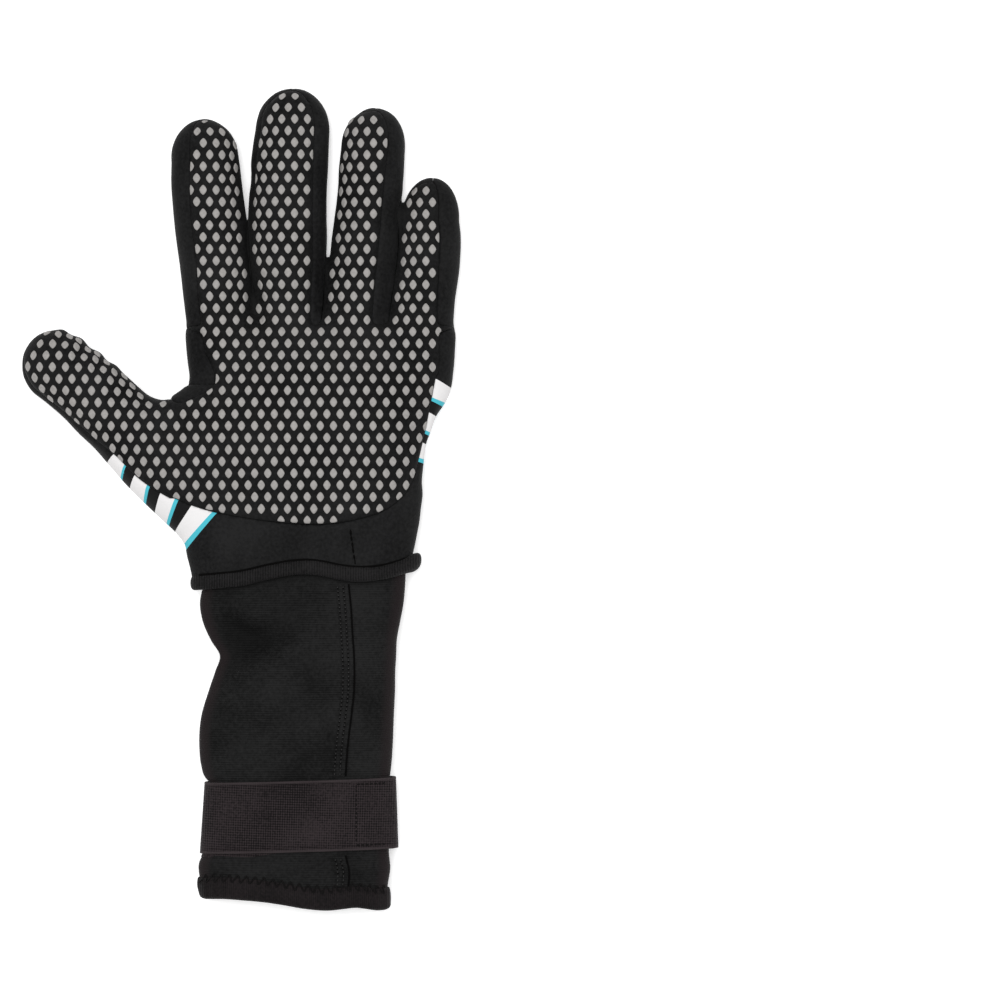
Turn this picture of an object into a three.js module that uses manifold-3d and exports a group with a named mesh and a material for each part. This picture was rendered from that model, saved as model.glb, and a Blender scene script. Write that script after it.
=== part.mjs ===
// A left-hand neoprene diving glove with a long cuff, lying on its back, palm up.
// The hand is a hollow shell of flat-cut panels: a gripping palm panel, a back panel and the side
// strips between the fingers. A rolled hem joins it to the cuff, a strap goes round the cuff, and a
// binding closes the cuff's edge.
// Millimetres. X runs from the thumb to the little finger, Y from the cuff to the fingertips, Z up out
// of the palm.
// The origin is on the flat underside of the back panel, below the middle of the palm.
import * as THREE from 'three';
import Module from 'manifold-3d';
import { mergeVertices } from 'three/addons/utils/BufferGeometryUtils.js';

const wasm = await Module();
wasm.setup();

// Walls, gaps and seams
const HAND_WALL = 3.0;
const CUFF_WALL = 2.5;
const SEAM_GAP = 0.35;
const SLIP_GAP = 0.45; // between the cuff and what goes round it
const PALM_SEAM_HEIGHT = 9.5; // lowest edge of the palm panel, where it wraps round a side
const SIDE_SEAM_HEIGHT = 5.5; // joint of the side strips and the back panel
const WRAP_REACH = 0.5; // how far a wrapping panel's cut passes the side of a finger
const WEB_RIM = 1.6; // how far the palm panel stops short of the webs between the fingers

// Hand
const PALM_HALF_WIDTH = 56;
const PALM_HEIGHT = 30;
const PALM_TOP = 46.5; // where the fingers part
const PALM_BOTTOM = -61; // middle of the rolled hem
const FINGER_LENGTH = 111.1; // of the middle finger, from where its axis starts inside the palm
const FINGER_WIDTH = 33; // of the middle finger
const FINGER_PUFF = 0.74; // height of a finger for its width
const FINGER_SQUARENESS = 2.1;
const PALM_SQUARENESS = 2.4;
const CREST = 0.54; // half-height of an oval before it is flattened, for its height as it lies

// Rolled hem
const ROLL_HEIGHT = 6.4;
const ROLL_BULGE = 1.1;
const ROLL_LIP = 3.1; // how far the roll's loose end stands out beside the little finger's side

// Cuff
const CUFF_HALF_WIDTH = 42;
const CUFF_HEIGHT = 23.5;
const CUFF_LENGTH = 141;
const CUFF_AXIS_X = -11.5;
const CUFF_TUCK = 11;
const CUFF_SQUARENESS = 2.5;
const CUFF_END_FLOOR = 1.5;
const FOLD_DEPTH = 4.5;

// Binding of the cuff's edge
const BINDING_WALL = 1.2;
const BINDING_HEIGHT = 9.4;
const BINDING_DROP = 4.6; // how much lower its edge hangs in the middle than at the thumb side

// Strap
const STRAP_WIDTH = 30.5;
const STRAP_THICKNESS = 1.5;
const STRAP_TO_EDGE = 21.5; // from its lower edge to the cuff's
const STRAP_TOP = CUFF_LENGTH - STRAP_TO_EDGE - STRAP_WIDTH;
const STRAP_SLACK = 1.5;
const STRAP_TILT_DEG = 1.6;
const TAB_THICKNESS = 1.2;
const TAB_LENGTH = 40;
const TAB_WIDTH = 26;
const TAB_CORNER = 5;

const FINGER_SIDES = 14;
const HAND_SIDES = 28; // the cuff, which goes inside the hand, has the same
const CAP_STEPS = 4;
const CLEAR = 40; // how far a cutting solid passes what it cuts

// across and up: where the finger's axis starts inside the palm, as shares of its half-width and of the
// way from the rolled hem to where the fingers part. lean_deg: its turn from +Y towards the little
// finger. length and width are shares of FINGER_LENGTH and FINGER_WIDTH, cap of the finger's own width:
// the length of its rounded tip. tip: share of the cap that the palm panel covers.
// sections: along is a share of the length, aside and wide of the width. left and right are the palm
// panel's reach as shares of the half-width, and a side of null wraps down to PALM_SEAM_HEIGHT.
const FINGERS = {
  thumb: {
    across: -0.746, up: 0.195, lean_deg: -47.3, length: 1.032, width: 1, cap: 0.51, tip: 0.97,
    sections: [
      { along: 0, aside: 0, wide: 1.06, left: -0.2, right: null },
      { along: 0.31, aside: 0.035, wide: 1.08, left: 0.8, right: null },
      { along: 0.47, aside: 0.065, wide: 1.04, left: 0.86, right: null },
      { along: 0.53, aside: 0.055, wide: 0.99, left: 0.88, right: null },
      { along: 0.71, aside: 0.06, wide: 0.95, left: 0.9, right: null },
      { along: 0.853, aside: 0.02, wide: 0.93, left: 0.9, right: null },
    ],
  },
  index: {
    across: -0.754, up: 0.902, lean_deg: -5.4, length: 0.883, width: 0.912, cap: 0.565, tip: 0.98,
    sections: [
      { along: 0, aside: 0, wide: 0.94, left: 0.5, right: null },
      { along: 0.2, aside: 0, wide: 0.93, left: 0.55, right: null },
      { along: 0.37, aside: -0.015, wide: 0.97, left: 0.52, right: null },
      { along: 0.55, aside: -0.04, wide: 1, left: 0.5, right: null },
      { along: 0.74, aside: -0.035, wide: 0.99, left: 0.45, right: null },
      { along: 0.826, aside: -0.015, wide: 0.96, left: 0.42, right: null },
    ],
  },
  middle: {
    across: -0.246, up: 0.902, lean_deg: 0.7, length: 1, width: 1, cap: 0.56, tip: 0.93,
    sections: [
      { along: 0, aside: 0.01, wide: 0.81, left: 0.86, right: 0.66 },
      { along: 0.18, aside: 0.01, wide: 0.84, left: 0.86, right: 0.66 },
      { along: 0.33, aside: 0, wide: 0.94, left: 0.87, right: 0.64 },
      { along: 0.49, aside: -0.02, wide: 0.97, left: 0.87, right: 0.64 },
      { along: 0.76, aside: -0.01, wide: 0.97, left: 0.87, right: 0.64 },
      { along: 0.833, aside: 0, wide: 0.96, left: 0.87, right: 0.64 },
    ],
  },
  ring: {
    across: 0.232, up: 0.902, lean_deg: 4.6, length: 0.929, width: 0.873, cap: 0.59, tip: 0.9,
    sections: [
      { along: 0, aside: 0.02, wide: 0.89, left: null, right: 0.6 },
      { along: 0.19, aside: 0.03, wide: 0.89, left: null, right: 0.54 },
      { along: 0.44, aside: 0.06, wide: 0.95, left: null, right: 0.48 },
      { along: 0.59, aside: 0.075, wide: 0.96, left: null, right: 0.45 },
      { along: 0.79, aside: 0.07, wide: 0.96, left: null, right: 0.48 },
      { along: 0.835, aside: 0.07, wide: 0.95, left: null, right: 0.5 },
    ],
  },
  little: {
    across: 0.723, up: 0.828, lean_deg: 3.7, length: 0.729, width: 0.85, cap: 0.643, tip: 0.88,
    sections: [
      { along: 0, aside: 0, wide: 0.96, left: null, right: 0.68 },
      { along: 0.34, aside: 0.06, wide: 0.88, left: null, right: 0.47 },
      { along: 0.56, aside: 0.1, wide: 0.91, left: null, right: 0.36 },
      { along: 0.72, aside: 0.09, wide: 0.91, left: null, right: 0.32 },
      { along: 0.778, aside: 0.075, wide: 0.89, left: null, right: 0.3 },
    ],
  },
};

// Cross-sections of the palm. up is a share of the way from the rolled hem to where the fingers part,
// left and right are shares of the palm's half-width from the origin, high of its height.
const PALM_SECTIONS = [
  { up: -0.12, left: -0.985, right: 0.68, high: 0.93 },
  { up: 0.09, left: -1.04, right: 0.705, high: 0.95 },
  { up: 0.2, left: -1.04, right: 0.75, high: 0.96 },
  { up: 0.4, left: -1.1, right: 0.782, high: 0.99 },
  { up: 0.55, left: -1.2, right: 0.83, high: 1 },
  { up: 0.66, left: -1.22, right: 0.9, high: 0.98 },
  { up: 0.76, left: -1.03, right: 0.948, high: 0.93 },
  { up: 0.9, left: -1.015, right: 0.985, high: 0.79 },
  { up: 1, left: -1.03, right: 1, high: 0.63 },
];

// The palm panel's own outline between the fingers' strips, from beside the little finger round the heel
// of the hand to the thumb's crotch and the index finger. across is a share of the half-width, up of the
// way from hem to fingers.
const PALM_PANEL = [
  { across: 0.893, up: 0.94 },
  { across: 0.89, up: 0.81 },
  { across: 0.86, up: 0.715 },
  { across: 0.804, up: 0.56 },
  { across: 0.75, up: 0.438 },
  { across: 0.7, up: 0.356 },
  { across: 0.598, up: 0.284 },
  { across: 0.403, up: 0.227 },
  { across: 0.028, up: 0.19 },
  { across: -0.415, up: 0.204 },
  { across: -0.852, up: 0.244 },
  { across: -1.16, up: 0.302 },
  { across: -1.4, up: 0.375 },
  { across: -1.53, up: 0.47 },
  { across: -1.5, up: 0.6 },
  { across: -1.25, up: 0.671 },
  { across: -1.075, up: 0.675 },
  { across: -0.82, up: 0.749 },
  { across: -0.865, up: 0.86 },
  { across: -0.9, up: 0.94 },
];

// How the rolled hem's line waves over the wrist, up from PALM_BOTTOM, as shares of ROLL_HEIGHT.
const HEM_WAVE = [
  { across: -1.05, rise: -0.72 },
  { across: -0.66, rise: -0.25 },
  { across: -0.39, rise: 0.3 },
  { across: -0.1, rise: 0.2 },
  { across: 0.2, rise: -0.3 },
  { across: 0.4, rise: -0.05 },
  { across: 0.72, rise: 0.75 },
];

// Cross-sections of the cuff below the rolled hem. down is a share of its length, left and right of its
// half-width from its axis, high of its height. edge: how far the section follows the waved lower edge.
const CUFF_SECTIONS = [
  { down: 0.1, left: -0.986, right: 1.1, high: 0.93, edge: 0 },
  { down: 0.148, left: -0.955, right: 1.07, high: 0.97, edge: 0 },
  { down: 0.208, left: -0.867, right: 1.036, high: 1, edge: 0 },
  { down: 0.255, left: -0.775, right: 1.03, high: 1.02, edge: 0 },
  { down: 0.3, left: -0.82, right: 1.02, high: 1.02, edge: 0 },
  { down: 0.36, left: -0.888, right: 1.017, high: 1.01, edge: 0 },
  { down: 0.437, left: -0.964, right: 1.005, high: 1, edge: 0 },
  { down: 0.53, left: -0.986, right: 0.995, high: 0.98, edge: 0 },
  { down: 0.59, left: -0.955, right: 0.98, high: 0.96, edge: 0 },
  { down: 0.625, left: -0.882, right: 0.965, high: 0.93, edge: 0 },
  { down: 0.855, left: -0.914, right: 0.96, high: 0.93, edge: 0.1 },
  { down: 0.89, left: -0.98, right: 0.965, high: 0.96, edge: 0.4 },
  { down: 0.94, left: -0.967, right: 0.93, high: 0.97, edge: 0.8 },
  { down: 1, left: -0.94, right: 0.943, high: 0.96, edge: 1 },
];

// How far the cuff's lower edge hangs, from the thumb side to the other, as shares of BINDING_DROP.
const EDGE_WAVE = [
  { across: -1, drop: 0 },
  { across: -0.5, drop: 0.3 },
  { across: 0, drop: 0.85 },
  { across: 0.45, drop: 1.05 },
  { across: 0.7, drop: 0.75 },
  { across: 1, drop: 0.9 },
];

// Valleys pressed into the cuff's upper side. across and down place the middle, long and wide are shares
// of the half-width, deep of FOLD_DEPTH.
const CUFF_FOLDS = [
  { across: -0.55, down: 0.22, turn_deg: 24, long: 0.62, wide: 0.2, deep: 1 },
  { across: -0.75, down: 0.42, turn_deg: -38, long: 0.4, wide: 0.2, deep: 0.45 },
  { across: 0.42, down: 0.38, turn_deg: 92, long: 0.9, wide: 0.14, deep: 0.4 },
  { across: 0.15, down: 0.1, turn_deg: -8, long: 0.6, wide: 0.16, deep: 0.4 },
];

const radians = THREE.MathUtils.degToRad;
const lerp = THREE.MathUtils.lerp;
const palmUp = (share) => lerp(PALM_BOTTOM, PALM_TOP, share);

// Straight interpolation in a table whose rows rise along the column key.
function lookUp(rows, key, value, column) {
  const last = rows.length - 1;
  const at = rows.findIndex((row) => row[key] >= value);
  const upper = at < 0 ? last : Math.max(1, at);
  const [a, b] = [rows[upper - 1], rows[upper]];
  const share = THREE.MathUtils.clamp((value - a[key]) / (b[key] - a[key]), 0, 1);
  return lerp(a[column], b[column], share);
}

const bulgePower = (value, exponent) => Math.sign(value) * Math.abs(value) ** (2 / exponent);

// An upright oval lying on its floor: centre, half-width and crest of one cross-section.
function oval(centre, halfWidth, floor, top, squareness) {
  const halfHeight = (top - floor) * CREST;
  return { centre, halfWidth, halfHeight, middle: top - halfHeight, floor, squareness };
}

// The same oval with its wall moved outwards by a distance, inwards if it is negative.
function grown(section, by) {
  return {
    ...section,
    halfWidth: section.halfWidth + by,
    halfHeight: section.halfHeight + by,
    floor: Math.max(0, section.floor - by),
  };
}

// A point of the oval: how far across it lies, and its height.
function ovalPoint(section, angle) {
  const across = section.centre + section.halfWidth * bulgePower(Math.cos(angle), section.squareness);
  const height = section.middle + section.halfHeight * bulgePower(Math.sin(angle), section.squareness);
  return [across, Math.max(section.floor, height)];
}

// A closed body from points and triangles, turned to face outwards.
function closedBody(points, triangles) {
  let volume = 0;
  for (const [a, b, c] of triangles) {
    volume += points[a].dot(new THREE.Vector3().crossVectors(points[b], points[c])) / 6;
  }
  const index = triangles.flatMap(([a, b, c]) => (volume < 0 ? [a, c, b] : [a, b, c]));
  const geometry = new THREE.BufferGeometry().setFromPoints(points);
  geometry.setIndex(index);
  return geometry;
}

// A solid skinned over rings of equal count, with a flat fan over each end.
function loft(rings) {
  const sides = rings[0].length;
  const points = rings.flat();
  const triangles = [];
  for (let row = 0; row + 1 < rings.length; row++) {
    for (let side = 0; side < sides; side++) {
      const a = row * sides + side;
      const b = row * sides + ((side + 1) % sides);
      triangles.push([a, b, b + sides], [a, b + sides, a + sides]);
    }
  }
  const start = points.length;
  const middleOf = (ring) => ring.reduce((sum, p) => sum.add(p), new THREE.Vector3()).divideScalar(sides);
  points.push(middleOf(rings[0]), middleOf(rings.at(-1)));
  const lastRow = (rings.length - 1) * sides;
  for (let side = 0; side < sides; side++) {
    const next = (side + 1) % sides;
    triangles.push([start, next, side], [start + 1, lastRow + side, lastRow + next]);
  }
  return closedBody(points, triangles);
}

// A solid hoop: a closed profile carried round an oval. Each profile entry has an oval and a function
// from X to Y.
function hoop(profile, sides, settle = (point) => point) {
  const points = [];
  for (const { section, yAt } of profile) {
    for (let side = 0; side < sides; side++) {
      const [x, z] = ovalPoint(section, (2 * Math.PI * side) / sides);
      points.push(settle(new THREE.Vector3(x, yAt(x), z)));
    }
  }
  const triangles = [];
  for (let row = 0; row < profile.length; row++) {
    const nextRow = ((row + 1) % profile.length) * sides;
    for (let side = 0; side < sides; side++) {
      const next = (side + 1) % sides;
      const [a, b] = [row * sides + side, row * sides + next];
      const [c, d] = [nextRow + side, nextRow + next];
      triangles.push([a, b, d], [a, d, c]);
    }
  }
  return closedBody(points, triangles);
}

// An upright prism over a plan outline, from one height to another.
function prism(outline, from, to) {
  const shape = new THREE.Shape(outline.map(([x, y]) => new THREE.Vector2(x, y)));
  const geometry = new THREE.ExtrudeGeometry(shape, { depth: to - from, bevelEnabled: false });
  return geometry.translate(0, 0, from);
}

// A plan outline moved outwards by a distance, inwards if it is negative.
function offsetOutline(outline, by) {
  const count = outline.length;
  const turn = Math.sign(THREE.ShapeUtils.area(outline.map(([x, y]) => new THREE.Vector2(x, y))));
  return outline.map(([x, y], i) => {
    const before = outline[(i + count - 1) % count];
    const after = outline[(i + 1) % count];
    const incoming = new THREE.Vector2(x - before[0], y - before[1]).normalize();
    const outgoing = new THREE.Vector2(after[0] - x, after[1] - y).normalize();
    const normal = new THREE.Vector2(incoming.y + outgoing.y, -incoming.x - outgoing.x).normalize();
    const mitre = Math.max(0.4, normal.x * outgoing.y - normal.y * outgoing.x);
    return [x + (turn * by * normal.x) / mitre, y + (turn * by * normal.y) / mitre];
  });
}

// three.js geometry to a manifold-3d solid and back.
function solid(geometry) {
  const bare = geometry.clone();
  bare.deleteAttribute('normal');
  bare.deleteAttribute('uv');
  const merged = mergeVertices(bare, 1e-4);
  return new wasm.Manifold(new wasm.Mesh({
    numProp: 3,
    vertProperties: merged.attributes.position.array,
    triVerts: new Uint32Array(merged.index.array),
  }));
}

function geometryOf(body) {
  const mesh = body.getMesh();
  const geometry = new THREE.BufferGeometry();
  geometry.setAttribute('position', new THREE.BufferAttribute(mesh.vertProperties, mesh.numProp));
  geometry.setIndex(new THREE.BufferAttribute(mesh.triVerts, 1));
  return geometry;
}

const joined = (solids) => solids.reduce((all, next) => all.add(next));

// A cut panel without the crumbs that a cut leaves where it grazes a wall.
function panel(body) {
  const pieces = body.decompose().sort((a, b) => b.volume() - a.volume());
  return geometryOf(pieces[0]);
}

// Fingers

// The stations of a finger's axis: place, direction and width, rounded off at the tip. inset shrinks
// the finger's skin by a wall.
function fingerStations(finger, inset) {
  const lean = radians(finger.lean_deg);
  const ahead = new THREE.Vector2(Math.sin(lean), Math.cos(lean));
  const aside = new THREE.Vector2(ahead.y, -ahead.x);
  const base = new THREE.Vector2(finger.across * PALM_HALF_WIDTH, palmUp(finger.up));
  const length = finger.length * FINGER_LENGTH;
  const width = finger.width * FINGER_WIDTH;
  const cap = finger.cap * width;
  const station = (row, along, roundness) => ({
    place: base.clone().addScaledVector(ahead, along).addScaledVector(aside, row.aside * width),
    aside,
    halfWidth: ((row.wide * width) / 2 - inset) * roundness,
    halfHeight: (row.wide * width * FINGER_PUFF * CREST - inset) * roundness,
    middle: row.wide * width * FINGER_PUFF * (1 - CREST),
    left: row.left,
    right: row.right,
  });
  const body = finger.sections.slice(0, -1).map((row) => station(row, row.along * length, 1));
  const last = finger.sections.at(-1);
  const capStart = length - cap;
  const tip = [];
  for (let step = 1; step <= CAP_STEPS; step++) {
    const angle = (0.94 * Math.PI * step) / (2 * CAP_STEPS);
    tip.push(station(last, capStart + (cap - inset) * Math.sin(angle), Math.cos(angle)));
  }
  return [...body, station(last, capStart, 1), ...tip];
}

function fingerLoft(finger, inset) {
  const rings = fingerStations(finger, inset).map((s) => {
    const section = {
      centre: 0,
      halfWidth: s.halfWidth,
      halfHeight: s.halfHeight,
      middle: s.middle,
      floor: inset,
      squareness: FINGER_SQUARENESS,
    };
    const ring = [];
    for (let side = 0; side < FINGER_SIDES; side++) {
      const [across, z] = ovalPoint(section, (2 * Math.PI * side) / FINGER_SIDES);
      ring.push(new THREE.Vector3(s.place.x + s.aside.x * across, s.place.y + s.aside.y * across, z));
    }
    return ring;
  });
  return solid(loft(rings));
}

// The palm panel's strip up one finger, as a plan outline.
function fingerStrip(finger) {
  const bareTip = finger.cap * (1 - finger.tip);
  const bareLength = (bareTip * finger.width * FINGER_WIDTH) / FINGER_LENGTH;
  const short = { ...finger, cap: finger.cap - bareTip, length: finger.length - bareLength };
  const edge = (column, side) => fingerStations(short, 0).map((s) => {
    const reach = s[column] === null ? s.halfWidth + WRAP_REACH : s[column] * s.halfWidth;
    return [s.place.x + s.aside.x * reach * side, s.place.y + s.aside.y * reach * side];
  });
  return [...edge('left', -1), ...edge('right', 1).reverse()];
}

// Palm

function palmSectionAt(up) {
  const left = lookUp(PALM_SECTIONS, 'up', up, 'left') * PALM_HALF_WIDTH;
  const right = lookUp(PALM_SECTIONS, 'up', up, 'right') * PALM_HALF_WIDTH;
  const high = lookUp(PALM_SECTIONS, 'up', up, 'high') * PALM_HEIGHT;
  return oval((left + right) / 2, (right - left) / 2, 0, high, PALM_SQUARENESS);
}

function palmLoft(inset) {
  const ups = PALM_SECTIONS.map((row) => row.up);
  const rings = ups.map((up, i) => {
    const section = grown(palmSectionAt(up), -inset);
    section.floor = inset;
    const open = i === 0 ? -inset : 0;
    const closed = i === ups.length - 1 ? -inset : 0;
    const ring = [];
    for (let side = 0; side < HAND_SIDES; side++) {
      const [x, z] = ovalPoint(section, (2 * Math.PI * side) / HAND_SIDES);
      ring.push(new THREE.Vector3(x, palmUp(up) + open + closed, z));
    }
    return ring;
  });
  return solid(loft(rings));
}

function palmOutline() {
  const rim = PALM_TOP - WEB_RIM;
  const body = PALM_PANEL.map((p) => [p.across * PALM_HALF_WIDTH, palmUp(p.up)]);
  const [first, last] = [body[0], body.at(-1)];
  return [[first[0], rim], ...body, [last[0], rim]];
}

const hemY = (x) => PALM_BOTTOM + ROLL_HEIGHT * lookUp(HEM_WAVE, 'across', x / PALM_HALF_WIDTH, 'rise');

// Everything below the rolled hem, cut straight between the same stations as the roll has.
function belowHem() {
  const limit = CLEAR + PALM_HALF_WIDTH * 2;
  const section = palmSectionAt(0);
  const line = [limit];
  for (let side = 0; side <= HAND_SIDES / 2; side++) {
    line.push(ovalPoint(section, (2 * Math.PI * side) / HAND_SIDES)[0]);
  }
  const edge = [...line, -limit].map((x) => [x, hemY(x) + ROLL_HEIGHT / 2 + SEAM_GAP]);
  const outline = [[-limit, PALM_BOTTOM - limit], [limit, PALM_BOTTOM - limit], ...edge];
  return solid(prism(outline, -CLEAR, CLEAR * 2));
}

function handShell() {
  const fingers = Object.values(FINGERS);
  const outer = joined([palmLoft(0), ...fingers.map((f) => fingerLoft(f, 0))]);
  const inner = joined([palmLoft(HAND_WALL), ...fingers.map((f) => fingerLoft(f, HAND_WALL))]);
  return outer.subtract(inner).subtract(belowHem());
}

// What the palm panel takes of the shell, its outline and lower edge moved out by a gap.
function palmPanelCut(gap) {
  const outlines = [palmOutline(), ...Object.values(FINGERS).map(fingerStrip)];
  return joined(outlines.map((o) => solid(prism(offsetOutline(o, gap), PALM_SEAM_HEIGHT - gap, CLEAR * 2))));
}

// Side strips

// The plan region between the axes of two neighbouring fingers, from inside the palm to past their tips.
function betweenFingers(a, b) {
  const axis = (finger) => {
    const stations = fingerStations(finger, 0);
    const [before, tip] = [stations.at(-2).place, stations.at(-1).place];
    const past = tip.clone().add(tip.clone().sub(before).setLength(FINGER_WIDTH));
    return [...stations.map((s) => s.place), past].map((p) => [p.x, p.y]);
  };
  return [...axis(a), ...axis(b).reverse()];
}

// The region of the thumb's crotch: from the thumb's axis up to the seam beside the index finger.
function thumbCrotch() {
  const { thumb } = FINGERS;
  const stations = fingerStations(thumb, 0);
  const inner = [...stations.map((s) => [s.place.x, s.place.y])].slice(2);
  const tip = stations.at(-1).place;
  const seamUp = palmUp(0.75);
  const seamEnd = -0.78 * PALM_HALF_WIDTH;
  return [
    [seamEnd, inner[0][1]],
    ...inner,
    [tip.x - FINGER_WIDTH, tip.y + FINGER_WIDTH],
    [tip.x, seamUp + FINGER_WIDTH],
    [-1.35 * PALM_HALF_WIDTH, seamUp],
    [seamEnd, seamUp],
  ];
}

const SIDE_STRIPS = {
  thumb_gusset: thumbCrotch(),
  side_strip_index_middle: betweenFingers(FINGERS.index, FINGERS.middle),
  side_strip_middle_ring: betweenFingers(FINGERS.middle, FINGERS.ring),
  side_strip_ring_little: betweenFingers(FINGERS.ring, FINGERS.little),
};

function sideStripCut(outline, gap) {
  return solid(prism(offsetOutline(outline, gap / 2), SIDE_SEAM_HEIGHT - gap / 2, CLEAR * 2));
}

// Cuff

const edgeDrop = (x) => BINDING_DROP
  * lookUp(EDGE_WAVE, 'across', (x - CUFF_AXIS_X) / CUFF_HALF_WIDTH, 'drop');

const strapFloor = TAB_THICKNESS + SEAM_GAP;
const cuffFloor = Math.max(HAND_WALL, strapFloor + STRAP_THICKNESS) + SLIP_GAP;

function cuffSectionAt(down) {
  const side = (column) => lookUp(CUFF_SECTIONS, 'down', down, column);
  const [left, right] = [side('left') * CUFF_HALF_WIDTH, side('right') * CUFF_HALF_WIDTH];
  const pastStrap = (STRAP_TOP + STRAP_WIDTH) / CUFF_LENGTH + 0.02;
  const settled = THREE.MathUtils.smoothstep(down, pastStrap, 1);
  const floor = lerp(cuffFloor, CUFF_END_FLOOR + BINDING_WALL - SEAM_GAP, settled);
  const top = cuffFloor + side('high') * CUFF_HEIGHT;
  return oval(CUFF_AXIS_X + (left + right) / 2, (right - left) / 2, floor, top, CUFF_SQUARENESS);
}

// Presses the folds into what lies above the cuff's middle height.
function pressFolds(point) {
  const upper = THREE.MathUtils.smoothstep(point.z, cuffFloor + CUFF_HEIGHT * 0.45, cuffFloor + CUFF_HEIGHT);
  for (const fold of CUFF_FOLDS) {
    const turn = radians(fold.turn_deg);
    const dx = (point.x - CUFF_AXIS_X) / CUFF_HALF_WIDTH - fold.across;
    const dy = (point.y - PALM_BOTTOM + fold.down * CUFF_LENGTH) / CUFF_HALF_WIDTH;
    const lengthwise = (dx * Math.cos(turn) + dy * Math.sin(turn)) / fold.long;
    const crosswise = (dy * Math.cos(turn) - dx * Math.sin(turn)) / fold.wide;
    point.z -= upper * FOLD_DEPTH * fold.deep * Math.exp(-(lengthwise ** 2) - crosswise ** 2);
  }
  return point;
}

function cuffProfile(inset, liftEnd) {
  const neck = grown(palmSectionAt(0), -HAND_WALL - SLIP_GAP - inset);
  neck.floor = HAND_WALL + SLIP_GAP + inset;
  const belowRoll = ROLL_HEIGHT * (0.5 - HEM_WAVE[0].rise) + SEAM_GAP;
  const neckRows = [CUFF_TUCK, -belowRoll].map((y) => ({ section: neck, yAt: () => PALM_BOTTOM + y }));
  const rows = CUFF_SECTIONS.map((row) => {
    const section = cuffSectionAt(row.down);
    return {
      section: { ...grown(section, -inset), floor: section.floor + inset },
      yAt: (x) => PALM_BOTTOM - row.down * CUFF_LENGTH + row.edge * (liftEnd - edgeDrop(x)),
    };
  });
  return [...neckRows, ...rows];
}

// Where the strap crosses, the cuff lies flat under it, so folds press only its bare stretch.
function cuff() {
  const lift = BINDING_WALL + SEAM_GAP;
  const profile = [...cuffProfile(0, lift), ...cuffProfile(CUFF_WALL, lift).reverse()];
  return hoop(profile, HAND_SIDES, pressFolds);
}

// Binding: a channel folded over the cuff's lower edge

function cuffBinding() {
  const reach = SEAM_GAP + BINDING_WALL;
  const lips = [
    { grow: SEAM_GAP, up: BINDING_HEIGHT },
    { grow: reach, up: BINDING_HEIGHT },
    { grow: reach, up: BINDING_HEIGHT * 0.45 },
    { grow: reach * 0.6, up: 0 },
    { grow: -CUFF_WALL - reach * 0.6, up: 0 },
    { grow: -CUFF_WALL - reach, up: BINDING_HEIGHT * 0.45 },
    { grow: -CUFF_WALL - reach, up: BINDING_HEIGHT },
    { grow: -CUFF_WALL - SEAM_GAP, up: BINDING_HEIGHT },
    { grow: -CUFF_WALL - SEAM_GAP, up: BINDING_WALL },
    { grow: SEAM_GAP, up: BINDING_WALL },
  ];
  const profile = lips.map(({ grow, up }) => {
    const section = cuffSectionAt(1 - up / CUFF_LENGTH);
    return {
      section: { ...grown(section, grow), floor: section.floor - grow },
      yAt: (x) => PALM_BOTTOM - CUFF_LENGTH - edgeDrop(x) + up,
    };
  });
  return hoop(profile, HAND_SIDES);
}

// Rolled hem

function wristRoll() {
  const steps = 10;
  const hand = palmSectionAt(0);
  const inward = HAND_WALL;
  const profile = [];
  for (let step = 0; step < steps; step++) {
    const angle = (2 * Math.PI * step) / steps;
    const out = (ROLL_BULGE - inward) / 2 + ((ROLL_BULGE + inward) / 2) * Math.cos(angle);
    const section = grown(hand, out);
    const lip = ROLL_LIP * Math.max(0, Math.cos(angle));
    section.floor = Math.max(0, -out);
    section.centre += lip / 2;
    section.halfWidth += lip / 2;
    profile.push({ section, yAt: (x) => hemY(x) + (ROLL_HEIGHT / 2) * Math.sin(angle) });
  }
  return hoop(profile, HAND_SIDES);
}

// Strap and its free end

function strap() {
  const tilt = Math.tan(radians(STRAP_TILT_DEG));
  const edges = [
    { grow: SLIP_GAP, below: STRAP_TOP },
    { grow: SLIP_GAP + STRAP_THICKNESS, below: STRAP_TOP },
    { grow: SLIP_GAP + STRAP_THICKNESS, below: STRAP_TOP + STRAP_WIDTH },
    { grow: SLIP_GAP, below: STRAP_TOP + STRAP_WIDTH },
  ];
  const profile = edges.map(({ grow, below }) => {
    const cuffSection = cuffSectionAt(below / CUFF_LENGTH);
    const section = grown(cuffSection, grow);
    section.centre += STRAP_SLACK / 2;
    section.halfWidth += STRAP_SLACK / 2;
    section.floor = cuffSection.floor - grow;
    return { section, yAt: (x) => PALM_BOTTOM - below + (x - CUFF_AXIS_X) * tilt };
  });
  return hoop(profile, HAND_SIDES);
}

function strapTab() {
  const [w, h, r] = [TAB_LENGTH / 2, TAB_WIDTH / 2, TAB_CORNER];
  const shape = new THREE.Shape();
  shape.moveTo(-w, -h);
  shape.lineTo(w - r, -h);
  shape.absarc(w - r, -h + r, r, -Math.PI / 2, 0, false);
  shape.lineTo(w, h - r);
  shape.absarc(w - r, h - r, r, 0, Math.PI / 2, false);
  shape.lineTo(-w, h);
  const depth = TAB_THICKNESS;
  const geometry = new THREE.ExtrudeGeometry(shape, { depth, bevelEnabled: false, curveSegments: 4 });
  return geometry.translate(CUFF_AXIS_X, PALM_BOTTOM - STRAP_TOP - STRAP_WIDTH / 2, 0);
}

// Assembly

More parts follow.
